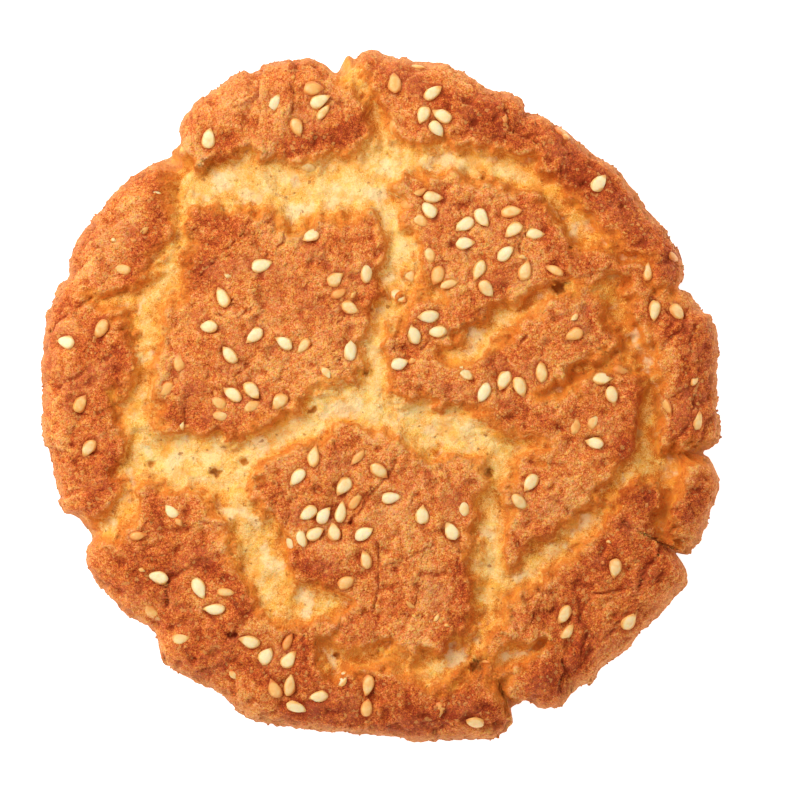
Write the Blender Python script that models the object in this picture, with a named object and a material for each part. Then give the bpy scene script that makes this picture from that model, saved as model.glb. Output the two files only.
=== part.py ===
"""Walnut cookie, a round crisp cookie about 95 mm across.

The dough spread and rose as it baked, so its browned crust split into plates with pale,
porous cracks between them, and it is sprinkled with sesame seeds. All of it is one solid,
because the seeds are baked onto the crust.

The skin is one surface that runs from the middle of the top, over the rounded edge and
down the side to the foot. A point on it has a bearing round the cookie and a travel from
0 in the middle to 1 at the foot. Lengths are in millimetres until the mesh is made.
The base lies at z = 0 and +Y points at the top of the outline.
"""

import math

import bmesh
import bpy
import numpy as np
from mathutils import Matrix, Vector, noise

MM = 0.001

# Profile of the cookie
CENTRE_HEIGHT = 12.8
SHOULDER_HEIGHT = 9.4
BELLY_HEIGHT = 3.0
EDGE_WIDTH = 5.4
FOOT_INSET = 1.6
TRAVEL_TO_SHOULDER = 0.80
TRAVEL_TO_BELLY = 0.94
EVENING_TURNS = np.radians(np.linspace(-24, 24, 17))
EDGE_GRIP = 8
TRAVEL_ROUNDS = 12

# Cracks, fissures and pits in the crust
CRACK_DEPTH = 2.0
CRACK_LIP = 0.5
CRACK_WALL = 1.7
CRACK_WALL_VARIES = (6.0, 0.8)
CRACK_DEPTH_VARIES = (9.0, 0.6)
CRUMBLE = ((2.8, 1.5), (1.3, 0.7))
CRACK_FADE_HEIGHTS = (1.0, 5.5)
FISSURE_HALF_WIDTH = 0.45
FISSURE_DEPTH = 0.5
PIT_DEPTH_RATIO = 1.5
PIT_WALL = (0.4, 1.35)
CRACK_BLEND = 0.9
STROKE_STEPS = 4
WANDERS = ((5.0, 0.70), (2.1, 0.40), (0.9, 0.18))

# Uneven rise of the dough: each pair is the size of the bumps and their height
SWELLS = ((13.0, 0.75), (4.5, 0.40), (1.9, 0.22))

# Fineness of the solid: steps across the grid that is bent to the skin, then triangles kept of it
GRID_STEPS = 150
SKIN_TRIANGLES = 6100

# Sesame seeds: length, width and thickness, and how deep each kind sits, as a share of its thickness
SEED_SIZE = (2.88, 1.90, 0.90)
SEED_KINDS = {
    "whole": {"scale": (1.0, 1.0), "sunk": 0.10},
    "toasted": {"scale": (0.95, 0.72), "sunk": 0.18},
    "sunken": {"scale": (0.90, 0.92), "sunk": 0.32},
}
SEED_UNEVENNESS = 0.08
SEED_TILT = math.radians(6)
SEED_ROUND = 5
SEED_STATIONS = ((-0.30, 0.84), (-0.04, 1.0), (0.28, 0.62))
SEED_ENDS = (-0.45, 0.55)
SEED_NORMAL_REACH = 1.1
RANDOM_SEED = 7
NOISE_SEED = 54

# Outline of the belly, clockwise from the notch at the top
OUTLINE = (
    (-6.3, 45.3), (-4.6, 47.5), (-3.5, 47.2), (-1.5, 48.4), (4.4, 46.8), (9.5, 45.9), (13.2, 43.8),
    (15.0, 42.6), (19.0, 41.7), (20.1, 40.9), (20.4, 39.6), (23.0, 38.9), (26.8, 36.0), (30.9, 33.1),
    (34.0, 30.5), (40.3, 22.5), (42.2, 19.6), (42.5, 16.6), (42.1, 15.1), (43.6, 14.0), (44.9, 11.6),
    (46.3, 11.0), (47.1, 7.5), (47.3, -5.2), (46.7, -6.8), (45.3, -8.0), (46.5, -10.3), (47.1, -13.0),
    (45.8, -16.5), (43.5, -22.3), (41.2, -21.7), (42.9, -24.8), (41.7, -27.5), (35.0, -34.6),
    (31.0, -37.8), (29.5, -39.9), (27.9, -40.2), (26.0, -42.2), (23.8, -43.7), (20.5, -42.9),
    (18.3, -44.0), (18.4, -46.0), (14.8, -48.2), (5.0, -48.5), (2.8, -47.8), (-4.0, -47.4),
    (-14.4, -46.3), (-19.5, -44.9), (-22.0, -42.4), (-25.5, -40.2), (-30.0, -37.8), (-31.5, -33.8),
    (-33.5, -31.6), (-36.3, -30.1), (-40.0, -25.0), (-40.8, -22.5), (-40.8, -19.3), (-42.7, -16.8),
    (-44.5, -15.8), (-46.5, -8.3), (-47.2, 2.0), (-46.2, 11.0), (-44.9, 15.0), (-43.2, 16.6),
    (-43.4, 19.0), (-41.5, 23.0), (-35.0, 30.0), (-31.2, 32.5), (-28.1, 35.2), (-28.2, 37.5),
    (-26.5, 40.0), (-19.5, 45.0), (-17.8, 45.1), (-10.7, 47.2), (-8.2, 46.5),
)
OUTLINE_STEPS = 8
FAR = 1000.0

# Cracks as strokes of a broad tool: each station is x, y and half the opening there
CRACKS = {
    "upper": (
        (-30.8, 35.2, 1.4), (-27.8, 31.7, 2.4), (-25.0, 28.9, 3.5), (-20.0, 29.6, 3.9),
        (-15.0, 28.7, 4.0), (-10.0, 28.3, 3.9), (-5.0, 29.0, 4.9), (-1.5, 29.9, 4.4),
    ),
    "upper bay": ((-11.8, 26.0, 2.9), (-12.0, 23.6, 1.3)),
    "top": ((-0.8, 31.5, 3.6), (0.3, 36.5, 1.8), (-1.3, 41.0, 1.5), (-3.9, 44.5, 1.8), (-5.2, 48.0, 1.3)),
    "upper right": (
        (-0.5, 31.8, 3.5), (5.0, 33.2, 2.9), (10.0, 32.4, 2.7), (15.0, 32.2, 2.6), (20.0, 31.2, 2.5),
    ),
    "upper right end": (
        (20.0, 31.2, 2.4), (23.0, 29.2, 2.0), (25.8, 25.4, 2.0), (29.0, 21.9, 2.1), (33.0, 20.0, 1.5),
        (36.5, 19.0, 0.9),
    ),
    "left": (
        (-28.0, 30.5, 2.2), (-28.0, 25.0, 2.1), (-28.8, 20.0, 2.4), (-29.7, 16.0, 3.0),
        (-31.9, 12.5, 2.8), (-32.4, 8.0, 2.4), (-33.3, 3.6, 2.4), (-34.0, -0.5, 2.6),
        (-33.4, -4.0, 3.2), (-32.7, -8.5, 3.4), (-34.7, -13.3, 1.9), (-36.4, -16.6, 2.1),
        (-38.6, -18.4, 1.8), (-41.5, -19.8, 1.2),
    ),
    "left rim": ((-33.0, 13.5, 2.0), (-36.0, 12.9, 1.4), (-38.3, 13.2, 1.0), (-40.8, 13.2, 0.5)),
    "centre": (
        (-0.4, 28.8, 2.8), (1.3, 25.0, 2.4), (2.8, 20.0, 2.5), (2.6, 16.5, 2.6), (1.7, 13.5, 2.2),
        (0.3, 10.0, 2.1), (-1.0, 6.5, 2.3), (-0.6, 3.0, 2.7), (-1.0, -0.8, 2.9),
    ),
    "centre bay": ((3.0, 15.2, 2.0), (6.0, 14.4, 1.6), (8.8, 14.1, 1.1)),
    "middle": (
        (-33.0, -8.6, 3.8), (-26.0, -9.0, 4.3), (-20.5, -9.7, 3.9), (-15.3, -6.4, 2.8),
        (-10.0, -3.8, 3.0), (-5.0, -1.2, 3.2), (2.0, -2.5, 3.1), (7.0, -4.9, 4.1), (12.0, -5.3, 4.0),
        (15.7, -7.3, 2.8),
    ),
    "lower middle": (
        (15.7, -7.3, 2.8), (15.9, -12.0, 2.3), (15.7, -16.0, 2.9), (15.0, -20.0, 3.0),
        (15.4, -25.0, 3.0), (15.2, -29.0, 2.6),
    ),
    "lower middle end": ((15.2, -29.0, 2.6), (14.0, -33.0, 2.1), (10.0, -37.2, 2.0)),
    "right bay": ((15.0, -6.3, 2.7), (19.5, -7.0, 1.8), (23.2, -7.6, 1.1)),
    "lower right": (
        (16.3, -27.2, 2.8), (20.2, -24.9, 2.2), (24.2, -21.8, 2.3), (27.7, -18.5, 2.3),
        (30.8, -15.9, 2.0), (33.2, -12.4, 1.8), (36.5, -9.2, 2.4),
    ),
    "inner": (
        (10.5, 5.2, 1.8), (13.2, 7.3, 2.2), (16.4, 10.0, 2.5), (19.8, 12.1, 1.9), (23.5, 14.0, 1.4),
        (26.5, 14.9, 0.9), (30.0, 15.2, 1.0), (32.0, 14.6, 1.7),
    ),
    "right": (
        (32.0, 14.6, 1.7), (33.8, 11.0, 2.2), (35.2, 7.3, 2.2), (36.9, 4.6, 2.1), (37.4, 0.8, 1.8),
        (37.4, -3.0, 1.9), (36.8, -7.0, 2.4), (38.5, -10.0, 2.8), (41.7, -8.7, 1.9), (46.5, -8.0, 1.3),
    ),
    "lower right rim": (
        (40.0, -10.5, 2.4), (40.6, -13.2, 1.4), (39.7, -16.8, 1.2), (39.6, -19.8, 0.8),
        (43.0, -21.8, 0.3),
    ),
    "right rim": ((44.0, 15.0, 0.7), (40.0, 14.9, 0.7), (36.5, 15.2, 0.4), (32.0, 15.6, 1.2)),
    "inner right": (
        (22.0, -0.3, 0.8), (25.0, 0.9, 1.5), (28.0, 2.6, 1.4), (31.0, 4.6, 1.5), (34.5, 6.5, 1.8),
    ),
    "lower left": (
        (-22.8, -11.3, 2.8), (-20.4, -15.0, 3.0), (-18.4, -18.5, 3.7), (-16.7, -22.0, 3.8),
        (-15.4, -25.8, 3.2), (-13.9, -28.5, 3.5), (-10.0, -29.4, 3.0), (-5.9, -29.0, 2.0),
    ),
    "bottom": (
        (-7.6, -35.0, 1.4), (-5.3, -36.4, 2.6), (-2.4, -36.6, 1.8), (1.0, -36.2, 1.9),
        (5.0, -38.0, 2.3), (9.0, -38.3, 2.6), (12.5, -37.0, 2.0), (15.5, -36.8, 1.3),
        (18.5, -36.4, 1.2), (22.3, -34.9, 0.7),
    ),
    "bottom rim": ((16.3, -39.0, 0.6), (17.0, -41.8, 1.1), (19.0, -44.5, 0.9)),
}

# Narrow fissures that split a plate without opening it
FISSURES = (
    ((-27.0, -24.6), (-29.2, -25.3), (-29.8, -27.0), (-29.4, -28.5), (-29.9, -30.0)),
    ((27.8, -29.5), (29.5, -28.0), (31.5, -27.0), (34.0, -26.7)),
    ((27.8, -29.5), (28.5, -32.0), (28.8, -34.0), (28.0, -36.0)),
    ((39.5, -20.3), (38.3, -23.3), (37.0, -25.0), (36.0, -27.0), (34.8, -29.3), (33.3, -31.5), (32.3, -33.0)),
    ((43.3, 9.8), (43.0, 7.5), (43.6, 5.5)),
    ((41.3, 8.6), (39.8, 7.0), (39.3, 5.8)),
    ((43.8, 0.0), (43.6, -2.0), (43.0, -4.0), (42.0, -5.5)),
    ((-12.8, 45.0), (-12.6, 43.3), (-12.0, 42.0)),
    ((25.2, -36.9), (25.4, -38.7), (24.6, -40.3), (24.4, -41.3)),
    ((-45.5, 9.0), (-43.0, 11.5), (-40.8, 13.2)),
    ((20.3, 36.0), (22.5, 36.3), (21.8, 37.8)),
    ((2.0, -9.3), (0.5, -11.8), (-1.2, -13.5), (-4.0, -17.3)),
    ((-0.3, -21.0), (0.0, -26.0), (-1.0, -30.0)),
    ((-37.3, 5.5), (-40.0, 4.3), (-42.5, 2.5), (-45.0, 1.0)),
)

# Burst bubbles: x, y and radius
PITS = (
    (-36.6, -19.8, 0.5), (-32.0, -9.7, 0.55), (-22.9, -10.8, 0.7), (-18.9, -9.3, 0.6),
    (-20.6, -33.5, 0.6), (-6.1, -36.5, 0.6), (13.4, -37.7, 0.9), (-2.2, 3.0, 0.5), (-9.3, -2.0, 0.6),
    (24.8, 15.0, 0.9), (35.0, 7.7, 0.6), (15.0, -11.0, 0.7),
)

# Where the seeds fell: x, y and the bearing of the pointed tip in degrees, counter-clockwise from +X
SEEDS = {
    "whole": (
        (-23.9, 35.6, 78), (-9.4, 42.6, 0), (-8.5, 40.9, 25), (-11.6, 37.3, -70), (2.0, 43.4, 90),
        (7.2, 42.0, 35), (6.0, 39.0, 250), (8.7, 38.8, 150), (7.8, 37.0, -50), (7.2, 27.5, -5),
        (6.8, 25.7, 130), (11.8, 23.7, 215), (14.1, 24.7, -60), (11.7, 21.1, 5), (18.2, 25.5, 8),
        (18.6, 23.0, 220), (17.3, 19.6, 40), (13.7, 17.4, 245), (14.7, 14.8, -50), (20.1, 17.2, 75),
        (8.0, 16.7, 245), (6.8, 10.9, 183), (8.0, 8.8, 185), (4.7, 8.3, 105), (2.6, 4.3, 20),
        (-16.6, 18.0, 15), (-21.9, 13.5, 115), (-23.8, 9.5, 180), (-6.3, 16.1, 35), (-1.9, 16.9, 82),
        (-4.2, 12.1, -25), (-17.4, 8.3, 222), (-13.3, 7.2, 150), (-20.9, 5.5, 130), (-4.1, 6.2, 85),
        (-20.5, 0.1, 145), (-17.9, 0.7, -50), (-14.0, -0.9, 225), (-38.8, 9.3, 235), (-43.6, 7.4, 172),
        (-41.8, -1.3, 55), (-40.6, -7.4, 235), (27.0, 8.4, 212), (14.4, 0.4, 240), (17.2, 2.1, 245),
        (19.4, 1.2, -70), (22.4, 3.1, 95), (30.8, 2.3, 5), (32.2, 0.0, -70), (29.9, -6.7, 165),
        (20.9, -12.1, 235), (19.3, -14.8, -45), (38.2, 11.8, -95), (41.4, 11.6, -55), (30.4, 29.5, 50),
        (-9.3, -8.6, 80), (-11.5, -11.4, 225), (-0.2, -10.5, -40), (-5.0, -12.6, 235), (1.4, -14.3, 5),
        (-10.0, -16.4, 215), (-7.9, -16.8, 50), (-5.5, -16.4, 80), (-9.1, -19.3, 28),
        (-6.4, -19.1, 105), (-2.4, -19.3, 30), (-2.0, -23.0, 105), (5.8, -16.8, 85), (9.9, -19.0, 120),
        (-4.8, -26.1, 28), (32.7, -24.1, -95), (25.6, -30.5, 240), (34.7, -31.6, 55),
        (-30.8, -25.4, 165), (-25.2, -26.8, -65), (-23.1, -29.8, 183), (-18.1, -34.4, 165),
        (-16.0, -36.4, 58), (-12.8, -36.9, 50), (-14.7, -41.0, 112), (-12.6, -40.4, 82),
        (-11.8, -43.6, -25), (-8.6, -42.0, 195), (-1.7, -40.3, -105), (-1.9, -43.7, 80),
        (13.3, -45.8, 150), (-9.6, 22.2, 215),
    ),
    "toasted": (
        (5.1, 45.8, -15), (-8.0, 39.3, 50), (24.3, 17.3, 155), (-5.8, 14.1, 22), (-10.7, 6.8, 230),
        (-3.1, -8.7, 225), (-3.5, -14.8, 50), (-12.9, -34.4, 62), (-33.8, -19.6, 8), (-21.5, -27.4, -5),
        (39.7, -1.4, -60), (44.2, -3.7, 85), (37.2, 17.1, 85), (41.0, 19.3, 10), (25.6, 36.0, 60),
        (33.5, 3.5, -10), (9.5, 15.4, 15),
    ),
    "sunken": (
        (-14.7, 40.6, 60), (-10.0, 31.6, -20), (1.7, 37.2, 95), (3.6, 26.5, -10), (5.5, 24.3, -35),
        (21.5, 22.4, 0), (6.8, 19.6, 110), (4.0, 16.8, 110), (2.5, 13.8, -40), (-28.0, 4.4, 100),
        (-29.7, 0.8, 225), (-22.4, -1.1, 150), (-22.1, -2.9, 0), (-17.9, -1.5, 20), (-35.9, 17.5, 165),
        (11.8, 3.1, -45), (29.6, -3.7, 60), (27.1, -4.4, 80), (11.6, -15.8, 90), (-12.6, -20.5, 95),
        (-11.0, -20.0, 100), (-29.1, -16.2, 135), (-27.8, -33.9, 10), (-5.4, -39.4, 90),
    ),
}

CRUST_COLOUR = (0.56, 0.22, 0.07, 1.0)
CRUST_ROUGHNESS = 0.72
SHARP_EDGE = math.radians(50)


def clear_scene():
    for old in list(bpy.data.objects):
        bpy.data.objects.remove(old, do_unlink=True)


def spline(points, steps, closed):
    """A smooth curve through the points, with the given steps between each two."""
    through = np.array(points, dtype=float)
    before, after, beyond = (np.roll(through, shift, axis=0) for shift in (1, -1, -2))
    if not closed:
        before[0], after[-1], beyond[-2:] = through[0], through[-1], through[-1]
    share = (np.arange(steps) / steps).reshape(1, -1, 1)
    a, b, c, d = (group[:, None, :] for group in (before, through, after, beyond))
    line = (2 * a - 5 * b + 4 * c - d) * share**2 + (3 * b - a - 3 * c + d) * share**3
    curve = (0.5 * (2 * b + (c - a) * share + line)).reshape(-1, through.shape[1])
    return curve if closed else curve[:(len(through) - 1) * steps + 1]


def belly_radius():
    """A function that gives the cookie's radius at its belly for an array of bearings."""
    curve = spline(OUTLINE, OUTLINE_STEPS, closed=True)
    bearings = np.arctan2(curve[:, 1], curve[:, 0])
    radii = np.hypot(curve[:, 0], curve[:, 1])
    order = np.argsort(bearings)
    return lambda bearing: np.interp(bearing, bearings[order], radii[order], period=2 * math.pi)


def share_of(value, low, high):
    """How far a value is on its way from low to high, kept within 0 and 1."""
    return np.clip((value - low) / (high - low), 0, 1)


def smooth_step(low, high, value):
    share = share_of(value, low, high)
    return share * share * (3 - 2 * share)


def bumps(points, size):
    """Smooth noise from -1 to 1 at each point, with bumps of the given size."""
    return np.array([noise.noise(Vector(point) / size) for point in points])


def varied(points, size, share):
    """A share more or less than usual at each point, over patches of the given size."""
    return share * bumps(points, size)


def wander(x, y):
    """The places with a crumbly shift, so that crack edges come out ragged."""
    here = np.column_stack((x, y, np.zeros_like(x)))
    shift = np.zeros_like(here)
    for size, reach in WANDERS:
        shift += reach * np.array([noise.noise_vector(Vector(point) / size) for point in here])
    return x + shift[:, 0], y + shift[:, 1]


def distance_to_stroke(x, y, stations):
    """How far each place lies outside a stroke, below 0 inside it."""
    nearest = np.full_like(x, FAR)
    for (ax, ay, a_half), (bx, by, b_half) in zip(stations, stations[1:]):
        run_x, run_y = bx - ax, by - ay
        share = np.clip(((x - ax) * run_x + (y - ay) * run_y) / (run_x**2 + run_y**2), 0, 1)
        gap = np.hypot(x - ax - share * run_x, y - ay - share * run_y)
        nearest = np.minimum(nearest, gap - a_half - share * (b_half - a_half))
    return nearest


def distance_to_cracks(x, y):
    """The same for all the cracks, with the corners where two of them meet rounded off."""
    nearest = np.full_like(x, FAR)
    for stations in CRACKS.values():
        other = distance_to_stroke(x, y, spline(stations, STROKE_STEPS, closed=False))
        overlap = np.clip(CRACK_BLEND - np.abs(nearest - other), 0, None)
        nearest = np.minimum(nearest, other) - overlap**2 / (4 * CRACK_BLEND)
    return nearest


def distance_to_fissures(x, y):
    """How far each place is from the nearest fissure's line."""
    lines = [distance_to_stroke(x, y, [(px, py, 0) for px, py in line]) for line in FISSURES]
    return np.min(lines, axis=0)


def relief(x, y, height):
    """How far the skin stands out from the plain profile at each place."""
    here = np.column_stack((x, y, height))
    level = np.column_stack((x, y, np.zeros_like(x)))
    rise = sum(tall * bumps(here, size) for size, tall in SWELLS)
    ragged_x, ragged_y = wander(x, y)
    gap = distance_to_cracks(ragged_x, ragged_y) + sum(reach * bumps(here, size) for size, reach in CRUMBLE)
    wall = CRACK_WALL * (1 + varied(level, *CRACK_WALL_VARIES))
    opened = (1 - smooth_step(-wall, CRACK_LIP, gap)) * (1 + varied(level + FAR, *CRACK_DEPTH_VARIES))
    split = 1 - smooth_step(0, FISSURE_HALF_WIDTH, distance_to_fissures(ragged_x, ragged_y))
    sunk = CRACK_DEPTH * opened + FISSURE_DEPTH * split
    for pit_x, pit_y, radius in PITS:
        away = np.hypot(x - pit_x, y - pit_y) / radius
        sunk += PIT_DEPTH_RATIO * radius * (1 - smooth_step(*PIT_WALL, away))
    return (rise - sunk) * smooth_step(*CRACK_FADE_HEIGHTS, height)


def shoulders(bearing, radius_at):
    """How far out the shoulder lies, and the same with the notches evened out."""
    even = sum(radius_at(bearing + turn) for turn in EVENING_TURNS) / len(EVENING_TURNS)
    return radius_at(bearing) - EDGE_WIDTH, even - EDGE_WIDTH


def skin(travel, bearing, radius_at):
    """Points of the skin, an (n, 3) array, for travels from 0 to 1 at the given bearings."""
    shoulder, even_shoulder = shoulders(bearing, radius_at)
    on_top = share_of(travel, 0, TRAVEL_TO_SHOULDER)
    over_edge = share_of(travel, TRAVEL_TO_SHOULDER, TRAVEL_TO_BELLY) * math.pi / 2
    to_foot = share_of(travel, TRAVEL_TO_BELLY, 1) * math.pi / 2
    across_top = (even_shoulder + (shoulder - even_shoulder) * on_top**EDGE_GRIP) * on_top
    from_centre = share_of(across_top, 0, even_shoulder)
    dome = SHOULDER_HEIGHT + (CENTRE_HEIGHT - SHOULDER_HEIGHT) * (1 - from_centre**2)
    out = across_top + EDGE_WIDTH * np.sin(over_edge) - FOOT_INSET * (1 - np.cos(to_foot))
    drop = (SHOULDER_HEIGHT - BELLY_HEIGHT) * (1 - np.cos(over_edge)) + BELLY_HEIGHT * np.sin(to_foot)
    height = dome * (1 - drop / SHOULDER_HEIGHT)
    lean = over_edge + to_foot
    step = relief(out * np.cos(bearing), out * np.sin(bearing), height)
    out = out + step * np.sin(lean)
    height = height + step * np.cos(lean)
    return np.column_stack((out * np.cos(bearing), out * np.sin(bearing), height))


def skin_above(x, y, radius_at):
    """The point of the skin over a place seen from straight above."""
    bearing = np.arctan2(y, x)
    shoulder, even_shoulder = shoulders(bearing, radius_at)
    away = np.hypot(x, y)
    over_edge = np.arcsin(np.clip((away - shoulder) / EDGE_WIDTH, 0, 1)) / (math.pi / 2)
    on_top = np.clip(away / shoulder, 0, 1)
    for _ in range(TRAVEL_ROUNDS):
        reach = even_shoulder + (shoulder - even_shoulder) * on_top**EDGE_GRIP
        on_top = np.where(away >= shoulder, 1, np.clip(away / reach, 0, 1))
    travel = TRAVEL_TO_SHOULDER * on_top + (TRAVEL_TO_BELLY - TRAVEL_TO_SHOULDER) * over_edge
    return skin(travel, bearing, radius_at)


def square_to_disc(a, b):
    """A square grid from -1 to 1 bent to a disc: the travel and bearing of each corner."""
    travel = np.maximum(np.abs(a), np.abs(b))
    safe = np.where(travel == 0, 1, travel)
    across = np.where(np.abs(a) >= np.abs(b), b / safe * np.sign(a), a / safe * np.sign(b)) * math.pi / 4
    from_x = np.where(a >= 0, across, math.pi + across)
    from_y = np.where(b >= 0, math.pi / 2 - across, -math.pi / 2 - across)
    return travel, np.where(np.abs(a) >= np.abs(b), from_x, from_y)


def make_skin(radius_at):
    """The top and side as one open sheet, thinned to the number of triangles it needs."""
    sheet = bmesh.new()
    bmesh.ops.create_grid(sheet, x_segments=GRID_STEPS, y_segments=GRID_STEPS, size=1)
    square = np.array([corner.co[:2] for corner in sheet.verts])
    points = skin(*square_to_disc(square[:, 0], square[:, 1]), radius_at)
    for corner, point in zip(sheet.verts, points):
        corner.co = Vector(point) * MM
    mesh = bpy.data.meshes.new("cookie")
    sheet.to_mesh(mesh)
    sheet.free()
    cookie = bpy.data.objects.new("cookie", mesh)
    bpy.context.collection.objects.link(cookie)
    thin = cookie.modifiers.new("fewer triangles", "DECIMATE")
    thin.ratio = SKIN_TRIANGLES / (2 * GRID_STEPS**2)
    apply_modifiers(cookie)
    return cookie


def apply_modifiers(thing):
    evaluated = thing.evaluated_get(bpy.context.evaluated_depsgraph_get())
    finished = bpy.data.meshes.new_from_object(evaluated)
    thing.modifiers.clear()
    thing.data = finished


def close_base(cookie):
    """Sets the foot flat on z = 0 and fills it."""
    shell = bmesh.new()
    shell.from_mesh(cookie.data)
    foot = [edge for edge in shell.edges if edge.is_boundary]
    for corner in {corner for edge in foot for corner in edge.verts}:
        corner.co.z = 0
    bmesh.ops.edgeloop_fill(shell, edges=foot)
    bmesh.ops.recalc_face_normals(shell, faces=shell.faces)
    shell.to_mesh(cookie.data)
    shell.free()


def seed_shape(length, width, thick):
    """A flat drop with its point at +X, from a few rings closed by a tip and a blunt end."""
    drop = bmesh.new()
    turns = [2 * math.pi * k / SEED_ROUND for k in range(SEED_ROUND)]
    rings = []
    for along, girth in SEED_STATIONS:
        wide, tall = width / 2 * girth, thick / 2 * girth
        corners = [(length * along, wide * math.cos(turn), tall * math.sin(turn)) for turn in turns]
        rings.append([drop.verts.new(corner) for corner in corners])
    blunt, tip = (drop.verts.new((length * end, 0, 0)) for end in SEED_ENDS)
    for near, far in zip(rings, rings[1:]):
        for k in range(SEED_ROUND):
            after = (k + 1) % SEED_ROUND
            drop.faces.new((near[k], near[after], far[after], far[k]))
    for k in range(SEED_ROUND):
        after = (k + 1) % SEED_ROUND
        drop.faces.new((blunt, rings[0][after], rings[0][k]))
        drop.faces.new((tip, rings[-1][k], rings[-1][after]))
    bmesh.ops.recalc_face_normals(drop, faces=drop.faces)
    mesh = bpy.data.meshes.new("seed")
    drop.to_mesh(mesh)
    drop.free()
    return mesh


def lie_on_skin(x, y, radius_at):
    """Where a seed lies and how the skin under it leans."""
    offsets = ((0, 0), (1, 0), (-1, 0), (0, 1), (0, -1))
    px = np.array([x + SEED_NORMAL_REACH * dx for dx, _ in offsets])
    py = np.array([y + SEED_NORMAL_REACH * dy for _, dy in offsets])
    middle, east, west, north, south = (Vector(point) for point in skin_above(px, py, radius_at))
    normal = (east - west).cross(north - south).normalized()
    around = (east + west + north + south) / 4
    return (middle + around) / 2, normal


def make_seeds(radius_at):
    """All the seeds, each half sunk in the skin, in a collection of their own."""
    draw = np.random.default_rng(RANDOM_SEED)
    scatter = bpy.data.collections.new("seeds")
    bpy.context.scene.collection.children.link(scatter)
    for kind, places in SEEDS.items():
        for x, y, tip in places:
            along, across = SEED_KINDS[kind]["scale"]
            uneven = 1 + draw.uniform(-SEED_UNEVENNESS, SEED_UNEVENNESS, 3)
            length, width, thick = (size * share for size, share in zip(SEED_SIZE, uneven))
            mesh = seed_shape(length * along, width * across, thick)
            spot, normal = lie_on_skin(x, y, radius_at)
            pointing = Vector((math.cos(math.radians(tip)), math.sin(math.radians(tip)), 0))
            forward = (pointing - normal * pointing.dot(normal)).normalized()
            stance = Matrix((forward, normal.cross(forward), normal)).transposed()
            tilt = Matrix.Rotation(draw.uniform(-SEED_TILT, SEED_TILT), 3, "Y")
            place = (stance @ tilt).to_4x4()
            place.translation = spot - normal * SEED_KINDS[kind]["sunk"] * thick
            mesh.transform(Matrix.Scale(MM, 4) @ place)
            seed = bpy.data.objects.new("seed", mesh)
            scatter.objects.link(seed)
    return scatter


def fuse(cookie, scatter):
    """Joins the seeds to the cookie in one union, then clears them away."""
    union = cookie.modifiers.new("fuse seeds", "BOOLEAN")
    union.operation = "UNION"
    union.operand_type = "COLLECTION"
    union.collection = scatter
    apply_modifiers(cookie)
    for seed in list(scatter.objects):
        bpy.data.objects.remove(seed, do_unlink=True)
    bpy.data.collections.remove(scatter)


def crust_material():
    crust = bpy.data.materials.new("baked crust")
    crust.use_nodes = True
    shader = crust.node_tree.nodes["Principled BSDF"]
    shader.inputs["Base Color"].default_value = CRUST_COLOUR
    shader.inputs["Roughness"].default_value = CRUST_ROUGHNESS
    shader.inputs["Metallic"].default_value = 0.0
    return crust


def build_cookie():
    radius_at = belly_radius()
    cookie = make_skin(radius_at)
    close_base(cookie)
    fuse(cookie, make_seeds(radius_at))
    cookie.data.materials.clear()
    cookie.data.materials.append(crust_material())
    cookie.data.shade_smooth()
    cookie.data.set_sharp_from_angle(angle=SHARP_EDGE)


clear_scene()
noise.seed_set(NOISE_SEED)
build_cookie()
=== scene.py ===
"""Looks of the walnut cookie: crumbly browned crust, pale dough in the cracks, sesame seeds and crumbs.

The skin repeats the solid's form, from the same sizes, and adds what is too fine for a solid: lumpy
crumb, flakes, crumb pockets, hair cracks and the dents that the seeds press into the dough. Lengths are
in millimetres until a mesh is made.
"""

import math

import bmesh
import bpy
import numpy as np
from mathutils import Matrix, Vector, noise


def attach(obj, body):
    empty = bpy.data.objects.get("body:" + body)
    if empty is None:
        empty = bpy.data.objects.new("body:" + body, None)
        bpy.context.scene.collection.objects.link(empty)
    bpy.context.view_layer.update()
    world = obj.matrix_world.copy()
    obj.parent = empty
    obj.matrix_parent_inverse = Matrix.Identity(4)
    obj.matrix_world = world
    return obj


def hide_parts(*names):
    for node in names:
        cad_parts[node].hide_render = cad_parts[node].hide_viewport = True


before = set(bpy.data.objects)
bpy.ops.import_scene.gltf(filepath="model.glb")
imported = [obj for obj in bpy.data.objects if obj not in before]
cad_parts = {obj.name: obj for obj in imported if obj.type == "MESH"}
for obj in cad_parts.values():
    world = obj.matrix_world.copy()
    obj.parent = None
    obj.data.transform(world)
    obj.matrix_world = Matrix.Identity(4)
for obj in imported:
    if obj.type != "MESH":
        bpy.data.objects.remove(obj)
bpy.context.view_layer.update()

MM = 0.001
FAR = 1000.0
BODY = "root"
CAD_NODE = "cookie"
RANDOM_SEED = 7
NOISE_SEED = 54

# Profile of the cookie, as in the solid
CENTRE_HEIGHT = 12.8
SHOULDER_HEIGHT = 9.4
BELLY_HEIGHT = 3.0
EDGE_WIDTH = 5.4
FOOT_INSET = 1.6
TRAVEL_TO_SHOULDER = 0.80
TRAVEL_TO_BELLY = 0.94
EVENING_TURNS = np.radians(np.linspace(-24, 24, 17))
EDGE_GRIP = 8
TRAVEL_ROUNDS = 12
OUTLINE_STEPS = 8

# Mesh of the skin: steps across it, rings that draw its foot in, and the marks that its crumbs share
SKIN_STEPS = 304
BASE_RINGS = (0.93, 0.85, 0.80)
HOLLOW_BLUR = 6
SHARED_MARKS = ("gap", "warmth", "crevice", "bake", "side", "hollow")

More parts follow.
